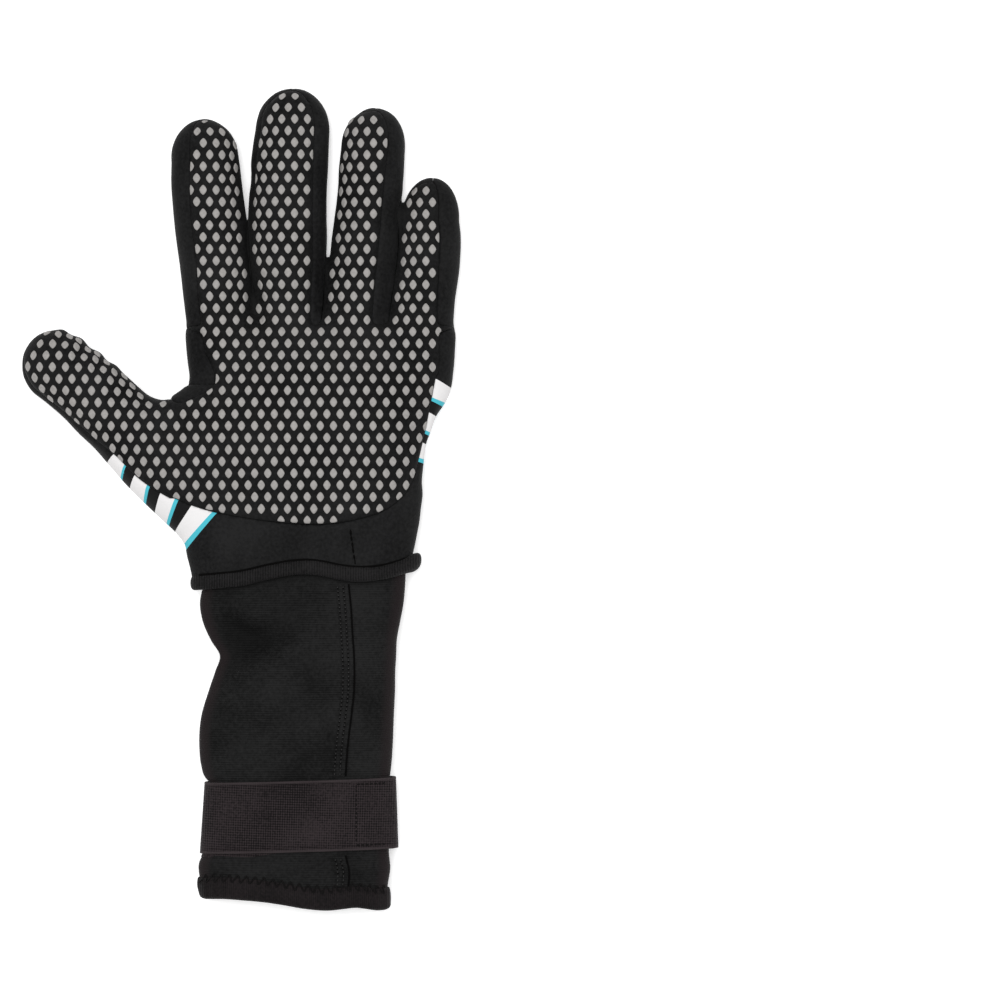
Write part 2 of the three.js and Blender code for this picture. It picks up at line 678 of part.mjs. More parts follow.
const NEOPRENE = { color: 0x1d1d1f, roughness: 0.85, metalness: 0 };
const GRIP = { color: 0x2b2b2c, roughness: 0.7, metalness: 0 };
const ELASTIC = { color: 0x262022, roughness: 0.9, metalness: 0 };
const BINDING = { color: 0x1a1718, roughness: 0.95, metalness: 0 };

const glove = new THREE.Group();

function addPiece(name, geometry, look) {
  const mesh = new THREE.Mesh(geometry, new THREE.MeshStandardMaterial(look));
  mesh.name = name;
  glove.add(mesh);
}

const shell = handShell();
const palmPanel = shell.intersect(palmPanelCut(0));
const besidePanel = shell.subtract(palmPanelCut(SEAM_GAP));
const stripCuts = joined(Object.values(SIDE_STRIPS).map((outline) => sideStripCut(outline, SEAM_GAP)));

addPiece('palm_panel', panel(palmPanel), GRIP);
addPiece('back_panel', panel(besidePanel.subtract(stripCuts)), NEOPRENE);
for (const [name, outline] of Object.entries(SIDE_STRIPS)) {
  addPiece(name, panel(besidePanel.intersect(sideStripCut(outline, -SEAM_GAP))), NEOPRENE);
}
addPiece('wrist_roll', wristRoll(), NEOPRENE);
addPiece('cuff', cuff(), NEOPRENE);
addPiece('cuff_binding', cuffBinding(), BINDING);
addPiece('strap', strap(), ELASTIC);
addPiece('strap_tab', strapTab(), ELASTIC);

export default glove;
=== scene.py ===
"""A left-hand neoprene diving glove with a long cuff, lying on its back, palm up. Lengths are in
millimetres until a mesh is made, in the frame of the CAD model."""

import math

import bpy
import mathutils
import numpy as np
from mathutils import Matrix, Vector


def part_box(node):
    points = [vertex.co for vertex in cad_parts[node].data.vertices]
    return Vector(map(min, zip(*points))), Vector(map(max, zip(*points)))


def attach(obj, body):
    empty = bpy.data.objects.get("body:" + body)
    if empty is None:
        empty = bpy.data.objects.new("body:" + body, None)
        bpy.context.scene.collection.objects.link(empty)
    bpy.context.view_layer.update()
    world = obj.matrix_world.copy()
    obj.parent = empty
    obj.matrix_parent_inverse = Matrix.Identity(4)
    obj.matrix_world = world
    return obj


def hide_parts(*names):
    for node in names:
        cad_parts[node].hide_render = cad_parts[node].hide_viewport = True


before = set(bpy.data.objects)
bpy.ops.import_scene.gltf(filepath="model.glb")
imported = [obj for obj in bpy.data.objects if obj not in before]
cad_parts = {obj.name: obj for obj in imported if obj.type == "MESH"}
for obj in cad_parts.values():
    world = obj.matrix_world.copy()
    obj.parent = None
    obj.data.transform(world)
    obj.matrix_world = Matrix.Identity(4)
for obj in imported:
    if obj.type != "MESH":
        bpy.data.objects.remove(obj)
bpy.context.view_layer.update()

MM = 0.001

# Sizes shared with the CAD model
HAND_WALL = 3.0
CUFF_WALL = 2.5
SEAM_GAP = 0.35
SLIP_GAP = 0.45
PALM_SEAM_HEIGHT = 9.5
SIDE_SEAM_HEIGHT = 5.5
PALM_HALF_WIDTH = 56.0
PALM_HEIGHT = 30.0
PALM_TOP = 46.5
PALM_BOTTOM = -61.0
FINGER_LENGTH = 111.1
FINGER_WIDTH = 33.0
FINGER_PUFF = 0.74
FINGER_SQUARENESS = 2.1
PALM_SQUARENESS = 2.4
CREST = 0.54
ROLL_HEIGHT = 6.4
ROLL_BULGE = 1.1
ROLL_LIP = 3.1
CUFF_HALF_WIDTH = 42.0
CUFF_HEIGHT = 23.5
CUFF_LENGTH = 141.0
CUFF_AXIS_X = -11.5
CUFF_TUCK = 11.0
CUFF_SQUARENESS = 2.5
FOLD_DEPTH = 4.5
BINDING_WALL = 1.2
BINDING_HEIGHT = 9.4
BINDING_DROP = 4.6
STRAP_WIDTH = 30.5
STRAP_THICKNESS = 1.5
STRAP_TOP = 89.0
STRAP_TILT_DEG = 1.6
TAB_THICKNESS = 1.2
CUFF_FLOOR = TAB_THICKNESS + SEAM_GAP + STRAP_THICKNESS + SLIP_GAP
CUFF_END_FLOOR = 2.35

# Every finger: where its axis starts, its lean and its size, then the columns of its sections from root
# to tip. left and right are the palm panel's reach as shares of the half-width, and a reach over 1 wraps
# round that side.
WRAP = 1.25
FINGERS = {
    "thumb": dict(
        across=-0.746, up=0.195, lean_deg=-47.3, length=1.032, width=1.0, cap=0.51, tip=0.97,
        panel_from=24,
        along=[0, 0.31, 0.47, 0.53, 0.71, 0.853],
        aside=[0, 0.035, 0.065, 0.055, 0.06, 0.02],
        wide=[1.06, 1.08, 1.04, 0.99, 0.95, 0.93],
        left=[0.1, 0.6, 0.74, 0.79, 0.885, 0.9],
        right=[WRAP] * 6,
    ),
    "index": dict(
        across=-0.754, up=0.902, lean_deg=-5.4, length=0.883, width=0.912, cap=0.565, tip=0.98,
        panel_from=-3,
        along=[0, 0.2, 0.37, 0.55, 0.74, 0.826],
        aside=[-0.015, -0.018, -0.008, -0.022, -0.03, -0.015],
        wide=[0.94, 0.985, 1.01, 1.03, 1.0, 0.96],
        left=[0.5, 0.55, 0.52, 0.5, 0.45, 0.42],
        right=[WRAP] * 6,
    ),
    "middle": dict(
        across=-0.246, up=0.902, lean_deg=0.7, length=1.0, width=1.0, cap=0.56, tip=0.93, panel_from=-3,
        along=[0, 0.18, 0.33, 0.49, 0.76, 0.833],
        aside=[0.0, -0.012, -0.035, -0.048, -0.02, 0],
        wide=[0.83, 0.885, 1.01, 1.025, 0.99, 0.96],
        left=[0.86, 0.84, 0.85, 0.86, 0.87, 0.87],
        right=[0.66, 0.67, 0.675, 0.67, 0.65, 0.64],
    ),
    "ring": dict(
        across=0.232, up=0.902, lean_deg=4.6, length=0.929, width=0.873, cap=0.59, tip=0.9, panel_from=-3,
        along=[0, 0.19, 0.44, 0.59, 0.79, 0.835],
        aside=[-0.005, 0.01, 0.055, 0.075, 0.07, 0.07],
        wide=[0.98, 0.98, 0.975, 0.96, 0.96, 0.95],
        left=[1.0, 1.0, 1.12, WRAP, WRAP, WRAP],
        right=[0.6, 0.54, 0.48, 0.45, 0.48, 0.5],
    ),
    "little": dict(
        across=0.723, up=0.828, lean_deg=3.7, length=0.729, width=0.85, cap=0.643, tip=0.88, panel_from=-3,
        along=[0, 0.34, 0.56, 0.72, 0.778],
        aside=[0, 0.045, 0.09, 0.09, 0.075],
        wide=[1.04, 0.97, 0.955, 0.92, 0.89],
        left=[1.0, 1.0, 1.02, 1.06, 1.12],
        right=[0.68, 0.47, 0.36, 0.32, 0.3],
    ),
}
PALM_SECTIONS = dict(
    up=[-0.12, 0, 0.04, 0.09, 0.2, 0.4, 0.55, 0.66, 0.76, 0.9, 1],
    left=[-0.955, -0.988, -1.01, -1.035, -1.04, -1.1, -1.2, -1.22, -1.02, -0.982, -0.955],
    right=[0.68, 0.69, 0.695, 0.705, 0.755, 0.786, 0.83, 0.9, 0.94, 0.962, 0.945],
    high=[0.93, 0.94, 0.945, 0.95, 0.96, 0.99, 1, 0.98, 0.93, 0.79, 0.63],
)
PALM_PANEL = [
    (0.893, 0.94), (0.89, 0.81), (0.86, 0.715), (0.804, 0.56), (0.75, 0.438), (0.7, 0.356),
    (0.598, 0.284), (0.403, 0.227), (0.028, 0.19), (-0.415, 0.204), (-0.852, 0.244), (-1.16, 0.302),
    (-1.4, 0.375), (-1.53, 0.47), (-1.5, 0.6), (-1.25, 0.671), (-1.075, 0.675), (-0.82, 0.749),
    (-0.865, 0.86), (-0.9, 0.94),
]
HEM_WAVE = dict(
    across=[-1.05, -0.9, -0.62, -0.36, -0.18, -0.08, 0.02, 0.145, 0.257, 0.446, 0.686, 0.78],
    rise=[-0.8, -0.67, -0.42, 0.08, 0.32, 0.34, 0.23, 0, -0.125, -0.05, 0.55, 0.88],
)
CUFF_SECTIONS = dict(
    down=[
        -0.078, 0.02, 0.1, 0.148, 0.208, 0.255, 0.3, 0.36, 0.437,
        0.53, 0.59, 0.622, 0.645, 0.83, 0.858, 0.89, 0.94, 1,
    ],
    left=[
        -0.92, -0.925, -0.972, -0.945, -0.858, -0.766, -0.811, -0.879, -0.955,
        -0.977, -0.957, -0.925, -0.86, -0.9, -0.935, -0.98, -0.975, -0.93,
    ],
    right=[
        1.125, 1.13, 1.108, 1.078, 1.042, 1.036, 1.027, 1.024, 1.012,
        1.0, 0.985, 0.972, 0.965, 0.96, 0.962, 0.975, 0.95, 0.94,
    ],
    high=[
        0.9, 0.9, 0.93, 0.97, 1, 1.02, 1.02, 1.01, 1,
        0.98, 0.96, 0.94, 0.93, 0.93, 0.94, 0.96, 0.97, 0.96,
    ],
    edge=[0] * 13 + [0.05, 0.12, 0.4, 0.8, 1],
)
EDGE_WAVE = dict(
    across=[-1, -0.7, -0.5, -0.3, -0.1, 0.11, 0.36, 0.52, 0.62, 0.73, 0.83, 1],
    drop=[-0.1, -0.25, -0.15, 0, 0.27, 0.6, 0.76, 0.62, 0.54, 0.66, 0.83, 0.85],
)
# Valleys in the cuff's upper side: across, down, turn in degrees, length, width, depth share.
CUFF_FOLDS = [
    (-0.5, 0.22, 24, 0.66, 0.22, 1.5),
    (-0.62, 0.165, -27, 0.36, 0.13, 0.95),
    (-0.75, 0.42, -38, 0.4, 0.2, 0.45),
    (0.42, 0.38, 92, 0.9, 0.14, 0.4),
    (0.15, 0.1, -8, 0.6, 0.16, 0.4),
]


# Numbers


def along_table(table, key, column, value):
    """Smooth interpolation of a table's column, held at its ends."""
    xs = np.asarray(table[key], float)
    ys = np.asarray(table[column], float)
    slopes = np.gradient(ys, xs)
    value = np.clip(value, xs[0], xs[-1])
    at = np.clip(np.searchsorted(xs, value) - 1, 0, len(xs) - 2)
    step = xs[at + 1] - xs[at]
    t = (value - xs[at]) / step
    return (
        (2 * t**3 - 3 * t**2 + 1) * ys[at]
        + (t**3 - 2 * t**2 + t) * step * slopes[at]
        + (3 * t**2 - 2 * t**3) * ys[at + 1]
        + (t**3 - t**2) * step * slopes[at + 1]
    )


def smoothstep(low, high, value):
    t = np.clip((value - low) / (high - low), 0, 1)
    return t * t * (3 - 2 * t)


def smooth_min(a, b, k):
    h = np.clip(0.5 + 0.5 * (b - a) / k, 0, 1)
    return b + (a - b) * h - k * h * (1 - h)


def smooth_max(a, b, k):
    return -smooth_min(-a, -b, k)


def bulge_power(value, exponent):
    return np.sign(value) * np.abs(value) ** (2 / exponent)


def hashed(i, j, k, seed):
    n = np.sin(i * 127.1 + j * 311.7 + k * 74.7 + seed * 53.3) * 43758.5453
    return n - np.floor(n)


def soft_noise(p, size, seed):
    """Smooth value noise from -1 to 1 at a length in millimetres."""
    q = p / size
    cell = np.floor(q)
    f = q - cell
    f = f * f * (3 - 2 * f)
    total = 0
    for di in (0, 1):
        for dj in (0, 1):
            for dk in (0, 1):
                share = (
                    (f[..., 0] if di else 1 - f[..., 0])
                    * (f[..., 1] if dj else 1 - f[..., 1])
                    * (f[..., 2] if dk else 1 - f[..., 2])
                )
                near = hashed(cell[..., 0] + di, cell[..., 1] + dj, cell[..., 2] + dk, seed)
                total = total + share * near
    return total * 2 - 1


# Hand as a field

WRINKLE_DEPTH = 0.4
WRINKLE_PITCH = 9.6


def palm_up(share):
    return PALM_BOTTOM + share * (PALM_TOP - PALM_BOTTOM)


class Finger:
    """One finger's tube: coordinates along and beside its axis, and its widths."""

    def __init__(self, row):
        self.row = row
        lean = math.radians(row["lean_deg"])
        self.ahead = np.array([math.sin(lean), math.cos(lean)])
        self.beside = np.array([self.ahead[1], -self.ahead[0]])
        self.base = np.array([row["across"] * PALM_HALF_WIDTH, palm_up(row["up"])])
        self.length = row["length"] * FINGER_LENGTH
        self.width = row["width"] * FINGER_WIDTH
        self.cap = row["cap"] * self.width

    def column(self, name, along):
        return along_table(self.row, "along", name, along / self.length)

    def coordinates(self, xy):
        d = xy - self.base
        along = d @ self.ahead
        side = d @ self.beside - self.column("aside", along) * self.width
        return along, side

    def plan(self, along, side):
        side = side + self.column("aside", along) * self.width
        return self.base + along[..., None] * self.ahead + side[..., None] * self.beside

    def half_width(self, along):
        return self.column("wide", along) * self.width / 2

    def section(self, along):
        """Half-width, half-height and middle height."""
        w = self.half_width(along)
        return w, 2 * w * FINGER_PUFF * CREST, 2 * w * FINGER_PUFF * (1 - CREST)

    def field(self, p):
        along, side = self.coordinates(p[..., :2])
        w, h, middle = self.section(along)
        q = (
            np.abs(side / w) ** FINGER_SQUARENESS + np.abs((p[..., 2] - middle) / h) ** FINGER_SQUARENESS
        ) ** (1 / FINGER_SQUARENESS)
        tip = np.clip((along - self.length + self.cap) / self.cap, 0, 9)
        root = np.clip((-along - 5) / 15, 0, 9)
        return (np.sqrt(q**2 + tip**2 + root**2) - 1) * np.minimum(w, h)

    def strip(self, xy):
        """How far inside the palm panel's strip a plan point lies."""
        along, side = self.coordinates(xy)
        w = self.half_width(along)
        reach = np.where(side < 0, self.column("left", along), self.column("right", along)) * w
        short = self.cap * self.row["tip"]
        start = self.length - self.cap
        tip = np.clip((along - start) / short, 0, 9)
        inside = reach * (1 - np.sqrt((side / reach) ** 2 + tip**2))
        return np.minimum(inside, along - self.row["panel_from"])


fingers = {name: Finger(row) for name, row in FINGERS.items()}


def palm_section(y):
    up = (y - PALM_BOTTOM) / (PALM_TOP - PALM_BOTTOM)
    left = along_table(PALM_SECTIONS, "up", "left", up) * PALM_HALF_WIDTH
    right = along_table(PALM_SECTIONS, "up", "right", up) * PALM_HALF_WIDTH
    high = along_table(PALM_SECTIONS, "up", "high", up) * PALM_HEIGHT
    return (left + right) / 2, (right - left) / 2, high * CREST, high * (1 - CREST)


def palm_field(p):
    centre, w, h, middle = palm_section(p[..., 1])
    q = (
        np.abs((p[..., 0] - centre) / w) ** PALM_SQUARENESS
        + np.abs((p[..., 2] - middle) / h) ** PALM_SQUARENESS
    ) ** (1 / PALM_SQUARENESS)
    end = np.clip((p[..., 1] - (PALM_TOP - 14)) / 15.5, 0, 3)
    return (np.sqrt(q**2 + end**5) - 1) * np.minimum(w, h)


def thumb_wrinkles(p):
    """Soft wrinkles across the thumb's inner side, near its end."""
    thumb = fingers["thumb"]
    along, side = thumb.coordinates(p[..., :2])
    far = thumb.length - along
    here = smoothstep(1, 9, side) * smoothstep(3, 8, far) * smoothstep(42, 30, far)
    return WRINKLE_DEPTH * here * np.cos(2 * math.pi * (far - 16) / WRINKLE_PITCH)


def hand_field(p):
    """Roughly the distance to the hand's skin, below 0 inside."""
    tubes = fingers["index"].field(p)
    for name, closed_to in (("middle", 60), ("ring", 74), ("little", 98)):
        pressed = 0.8 + 3.7 * smoothstep(closed_to + 4, closed_to - 6, p[..., 1])
        tubes = smooth_min(tubes, fingers[name].field(p), pressed)
    body = smooth_min(palm_field(p), tubes, 5.5 - 1.5 * smoothstep(36, 50, np.abs(p[..., 0])))
    thumb = fingers["thumb"].field(p) - thumb_wrinkles(p)
    body = smooth_min(body, thumb, 1.5 + 2.3 * smoothstep(-22, 4, p[..., 1]))
    loose = 0.3 * soft_noise(p, 17.0, 1) + 0.14 * soft_noise(p, 7.0, 2)
    body = body + loose * smoothstep(2, 8, p[..., 2])
    return smooth_max(body, 0.02 - p[..., 2], 1.0)


def gradient(field, p, h=0.05):
    g = np.empty_like(p)
    for axis in range(3):
        step = np.zeros(3)
        step[axis] = h
        g[..., axis] = (field(p + step) - field(p - step)) / (2 * h)
    return g


def settle(field, p, rounds):
    """Moves points onto the field's zero surface; returns them and their outward normals."""
    for _ in range(rounds):
        g = gradient(field, p)
        size = np.maximum((g**2).sum(-1), 1e-4)
        step = -field(p) / size
        step = np.clip(step, -2.0, 2.0)
        p = p + g * step[..., None]
    g = gradient(field, p)
    return p, g / np.maximum(np.linalg.norm(g, axis=-1), 1e-6)[..., None]


def surface_net(field, low, high, cell):
    """Quads over a field's zero surface, on a grid."""
    counts = [int(math.ceil((b - a) / cell)) + 1 for a, b in zip(low, high)]
    axes = [low[a] + cell * np.arange(counts[a]) for a in range(3)]
    grid = np.stack(np.meshgrid(*axes, indexing="ij"), axis=-1)
    f = np.concatenate([field(part) for part in np.array_split(grid, 16, axis=0)], axis=0)
    n = [c - 1 for c in counts]

    def corner(a, i, j, k):
        return a[i : n[0] + i, j : n[1] + j, k : n[2] + k]

    inside = f < 0
    corners = np.ndindex(2, 2, 2)
    number = sum(corner(inside, i, j, k).astype(int) for i, j, k in corners)
    active = (number > 0) & (number < 8)
    total = np.zeros(tuple(n) + (3,))
    crossings = np.zeros(tuple(n))
    for axis in range(3):
        for u in (0, 1):
            for v in (0, 1):
                start = [u, v]
                start.insert(axis, 0)
                end = [u, v]
                end.insert(axis, 1)
                fa, fb = corner(f, *start), corner(f, *end)
                crossing = (fa < 0) != (fb < 0)
                t = np.where(crossing, fa / np.where(crossing, fa - fb, 1), 0)
                for a in range(3):
                    total[..., a] += np.where(crossing, start[a] + (t if a == axis else 0), 0)
                crossings += crossing
    where = np.argwhere(active)
    points = where + total[active] / crossings[active][:, None]
    points = np.array(low) + points * cell
    index = np.full(tuple(n), -1)
    index[active] = np.arange(len(where))
    quads = []
    for axis in range(3):
        a1, a2 = [a for a in range(3) if a != axis]
        cut = [slice(1, n[a]) if a != axis else slice(0, n[a]) for a in range(3)]
        ahead = list(cut)
        ahead[axis] = slice(1, n[axis] + 1)
        s0, s1 = inside[tuple(cut)], inside[tuple(ahead)]
        cells = np.argwhere(s0 != s1)
        flip = s0[tuple(cells.T)]
        for a in (a1, a2):
            cells[:, a] += 1
        ring = []
        for d1, d2 in ((1, 1), (0, 1), (0, 0), (1, 0)):
            c = cells.copy()
            c[:, a1] -= d1
            c[:, a2] -= d2
            ring.append(index[tuple(c.T)])
        quad = np.stack(ring, axis=1)
        if axis == 1:
            flip = ~flip
        quad[~flip] = quad[~flip][:, ::-1]
        quads.append(quad)
    quads = np.concatenate(quads)
    return points, quads[(quads >= 0).all(1)]


# Meshes


def to_triangles(faces):
    return np.concatenate([faces[:, [0, 1, 2]], faces[:, [0, 2, 3]]]) if faces.shape[1] == 4 else faces


def compact(points, triangles):
    """Drops the points that no triangle uses."""
    used = np.unique(triangles)
    renumber = np.zeros(len(points), int)
    renumber[used] = np.arange(len(used))
    return points[used], renumber[triangles]


def keep_above(points, triangles, s):
    """The part of a mesh where the values s are positive, cut exactly at 0."""
    s = np.where(np.abs(s) < 1e-4, 1e-4, s)
    up = s > 0
    count = up[triangles].sum(1)
    whole = triangles[count == 3]
    cut = triangles[(count > 0) & (count < 3)]
    lone_up = up[cut].sum(1) == 1
    lone = np.where(lone_up[:, None], up[cut], ~up[cut]).argmax(1)
    rows = np.arange(len(cut))
    a, b, c = (cut[rows, (lone + i) % 3] for i in range(3))
    pairs = np.sort(np.concatenate([np.stack([a, b], 1), np.stack([a, c], 1)]), axis=1)
    unique, inverse = np.unique(pairs, axis=0, return_inverse=True)
    inverse = inverse.reshape(-1)
    s0, s1 = s[unique[:, 0]], s[unique[:, 1]]
    t = (s0 / (s0 - s1))[:, None]
    extra = points[unique[:, 0]] * (1 - t) + points[unique[:, 1]] * t
    ab = len(points) + inverse[: len(cut)]
    ac = len(points) + inverse[len(cut) :]
    corner = np.stack([a, ab, ac], 1)[lone_up]
    near, far = (np.stack(three, 1)[~lone_up] for three in ([ab, b, c], [ab, c, ac]))
    return compact(np.concatenate([points, extra]), np.concatenate([whole, corner, near, far]))


CRUMB = 400


def without_crumbs(points, triangles):
    """Drops the small loose parts that a cut leaves."""
    label = np.arange(len(points))
    while True:
        low = label[triangles].min(1)
        new = label.copy()
        for i in range(3):
            np.minimum.at(new, triangles[:, i], low)
        new = new[new]
        if (new == label).all():
            break
        label = new
    counts = np.bincount(label[triangles[:, 0]], minlength=len(points))
    return compact(points, triangles[counts[label[triangles[:, 0]]] > CRUMB])


def open_edges(faces):
    """Directed edges that only one face has."""
    sides = faces.shape[1]
    edges = np.concatenate([faces[:, [i, (i + 1) % sides]] for i in range(sides)])
    size = int(faces.max()) + 1
    forward = edges[:, 0].astype(np.int64) * size + edges[:, 1]
    backward = edges[:, 1].astype(np.int64) * size + edges[:, 0]
    return edges[~np.isin(forward, backward)]


def thickened(points, normals, triangles, wall):
    """A closed shell: the skin, the same skin inside it, and a rim along its open edges."""
    count = len(points)
    inner = points - normals * wall
    rim = open_edges(triangles)
    a, b = rim[:, 0], rim[:, 1]
    sides = np.concatenate([np.stack([b, a, a + count], 1), np.stack([b, a + count, b + count], 1)])
    return np.concatenate([points, inner]), np.concatenate([triangles, triangles[:, ::-1] + count, sides])


def placed(name, data):
    """A new object in the scene."""
    item = bpy.data.objects.new(name, data)
    bpy.context.scene.collection.objects.link(item)
    return item


def make_piece(name, points, faces, material, node=None, slot=None, values=None):
    """A Blender mesh from points and faces of equal size."""
    mesh = bpy.data.meshes.new(name)
    faces = np.ascontiguousarray(faces, dtype=np.int32)
    sides = faces.shape[1]
    mesh.vertices.add(len(points))
    mesh.vertices.foreach_set("co", (np.asarray(points) * MM).astype(np.float32).ravel())
    mesh.loops.add(faces.size)
    mesh.loops.foreach_set("vertex_index", faces.ravel())
    mesh.polygons.add(len(faces))
    mesh.polygons.foreach_set("loop_start", np.arange(0, faces.size, sides, dtype=np.int32))
    mesh.update(calc_edges=True)
    mesh.validate()
    mesh.polygons.foreach_set("use_smooth", np.ones(len(mesh.polygons), dtype=bool))
    for key, value in (values or {}).items():
        layer = mesh.attributes.new(key, "FLOAT", "POINT")
        layer.data.foreach_set("value", np.asarray(value, dtype=np.float32))
    mesh.materials.append(material)
    piece = placed(name, mesh)
    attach(piece, "root")
    if node:
        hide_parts(node)


def ring_faces(rows, columns, closed_rows):
    """Quads of a grid that is closed round its columns, and round its rows where asked."""
    r = np.arange(rows if closed_rows else rows - 1)
    c = np.arange(columns)
    a = r[:, None] * columns + c
    b = r[:, None] * columns + (c + 1) % columns
    down = ((r[:, None] + 1) % rows) * columns
    return np.stack([a, b, down + (c + 1) % columns, down + c], -1).reshape(-1, 4)


def outward(points, faces):
    """Faces turned outwards, judged by the volume that they enclose."""
    t = to_triangles(faces)
    a, b, c = points[t[:, 0]], points[t[:, 1]], points[t[:, 2]]
    return faces if (a * np.cross(b, c)).sum() > 0 else faces[:, ::-1]


def ring_piece(name, grid, material, slot, values=None):
    """A closed ring of a piece, from rows of points round it, in place of its CAD node."""
    grid = np.array(grid)
    points = grid.reshape(-1, 3)
    faces = outward(points, ring_faces(len(grid), grid.shape[1], True))
    make_piece(name, points, faces, material, name, slot, values)


def repeated(faces, count, copies):
    """The faces of one small shape of count points, once for each copy."""
    return (faces[None] + count * np.arange(copies)[:, None, None]).reshape(-1, faces.shape[1])


def oval(section, angle, grow, squareness):
    """Points across and up on a rounded section at some angles, moved out by grow."""
    centre, w, h, middle = section[:4]
    x = centre + (w + grow) * bulge_power(np.cos(angle), squareness)
    z = middle + (h + grow) * bulge_power(np.sin(angle), squareness)
    return x, z


# Materials


WHITE = (0.655, 0.645, 0.645)
CYAN = (0.058, 0.4, 0.48)
# The colour that painted shade mixes towards, in creases, folds and under the hem.
SHADOW = (0.0006, 0.0006, 0.0006)
BAND_STEPS = 16
BROAD_PATCH = 26
WORN_PATCH = 12
CLOTH_ROUGHNESS = 0.8


def node_material(name):
    material = bpy.data.materials.new(name)
    material.use_nodes = True
    tree = material.node_tree
    return material, tree, tree.nodes["Principled BSDF"]


def add(tree, kind, inputs=None, **settings):
    """A new shader node with its settings and inputs; an input that is a socket is linked."""
    node = tree.nodes.new("ShaderNode" + kind)
    for key, value in settings.items():
        setattr(node, key, value)
    for key, value in (inputs or {}).items():
        if isinstance(value, bpy.types.NodeSocket):
            tree.links.new(value, node.inputs[key])
        else:
            node.inputs[key].default_value = value
    return node


def noise(tree, place, scale, detail):
    return add(tree, "TexNoise", {"Vector": place, "Scale": scale, "Detail": detail}).outputs["Fac"]


def attribute(tree, name):
    return add(tree, "Attribute", attribute_name=name).outputs["Fac"]


def ranged(tree, value, **limits):
    """A value brought to a range; the limits are from_min, from_max, to_min and to_max."""
    inputs = {key.replace("_", " ").title(): limit for key, limit in limits.items()}
    return add(tree, "MapRange", {"Value": value, **inputs}).outputs[0]


def multiply_add(tree, value, factor, more):
    return add(tree, "Math", {0: value, 1: factor, 2: more}, operation="MULTIPLY_ADD").outputs[0]


def mixed(tree, share, under, over):
    return add(tree, "Mix", {"Factor": share, 6: under, 7: over}, data_type="RGBA").outputs[2]


def surface(tree, shader, colour, rough, specular, lift):
    """Links the colour, roughness and bump of a shader; lift is the bump's strength, depth and height."""
    strength, depth, height = lift
    bump = add(tree, "Bump", {"Strength": strength, "Distance": depth * MM, "Height": height})
    tree.links.new(colour, shader.inputs["Base Color"])
    tree.links.new(bump.outputs["Normal"], shader.inputs["Normal"])
    shader.inputs["Specular IOR Level"].default_value = specular
    if isinstance(rough, bpy.types.NodeSocket):
        tree.links.new(rough, shader.inputs["Roughness"])
    else:
        shader.inputs["Roughness"].default_value = rough


def cloth(
    name, dark, light, knit, rib=(0, 0, 0), weft=(0, 0, 0), contrast=0.3, even=0.2, bands=False,
    selvedge_and_rim_light=None,
):
    """Knitted or woven cloth. knit is its loop size, rib and weft the direction and pitch of its ribs."""
    material, tree, shader = node_material(name)
    place = add(tree, "TexCoord").outputs["Object"]
    scale = 1 / MM
    fine = noise(tree, place, scale / (knit * 1.6), 3.0)
    broad = noise(tree, place, scale / BROAD_PATCH, 4.0)
    patches = ranged(tree, noise(tree, place, scale / WORN_PATCH, 2.0), from_min=0.35, from_max=0.65)
    height = add(tree, "TexVoronoi", {"Vector": place, "Scale": scale / knit}).outputs["Distance"]
    tone = add(tree, "Math", {0: fine, 1: broad}, operation="ADD").outputs[0]
    for direction in (rib, weft):
        if not any(direction):
            continue
        pitch = math.sqrt(sum(r * r for r in direction))
        turns = tuple(2 * math.pi * scale * r / pitch**2 for r in direction)
        wave = add(tree, "VectorMath", {0: place, 1: turns}, operation="DOT_PRODUCT")
        ridge = add(tree, "Math", {0: wave.outputs["Value"]}, operation="SINE").outputs[0]
        worn = ranged(tree, patches, to_min=contrast * even * 0.5, to_max=contrast * 0.5)
        tone = multiply_add(tree, ridge, worn, tone)
        height = multiply_add(tree, ridge, 0.8, height)
    ramp = ranged(tree, tone, from_min=0.74, from_max=1.26)
    colours = add(tree, "ValToRGB", {"Fac": ramp})
    for element, colour in zip(colours.color_ramp.elements, (dark, light)):
        element.color = (*colour, 1)
    colour = colours.outputs["Color"]
    if bands:
        colour = banded(tree, colour, [(a + b) / 2 for a, b in zip(dark, light)])
    # Painted shade: darkened towards SHADOW where the mesh's shade attribute says, in finger valleys, cuff
    # folds and under the rolled hem.
    colour = mixed(tree, attribute(tree, "shade"), colour, (*SHADOW, 1))
    # Painted rim light on the cuff's sides, and lighter woven edges on the strap.
    if selvedge_and_rim_light:
        colour = mixed(tree, attribute(tree, "selvedge_and_rim_light"), colour, (*selvedge_and_rim_light, 1))
    gloss = ranged(tree, fine, to_min=CLOTH_ROUGHNESS - 0.08, to_max=CLOTH_ROUGHNESS + 0.08)
    surface(tree, shader, colour, gloss, 0.12, (0.5, 0.16, height))
    shader.inputs["Sheen Weight"].default_value = 0.02
    shader.inputs["Sheen Roughness"].default_value = 0.4
    return material


def banded(tree, colour, dark):
    """The cloth's colour with plain side bands, white, cyan and black, where the mesh says so."""
    stripes = add(tree, "ValToRGB", {"Fac": attribute(tree, "band")})
    ramp = stripes.color_ramp
    ramp.interpolation = "CONSTANT"
    for element, position in zip(ramp.elements, (0.0, 1.0)):
        element.position = position
        element.color = (*dark, 1)
    for start in range(1, BAND_STEPS - 2, 3):
        for step, printed in enumerate((WHITE, CYAN, dark)):
            ramp.elements.new((start + step) / BAND_STEPS).color = (*printed, 1)
    shown = add(tree, "Math", {0: attribute(tree, "painted"), 1: 0.5}, operation="GREATER_THAN")
    return mixed(tree, shown.outputs[0], colour, stripes.outputs["Color"])


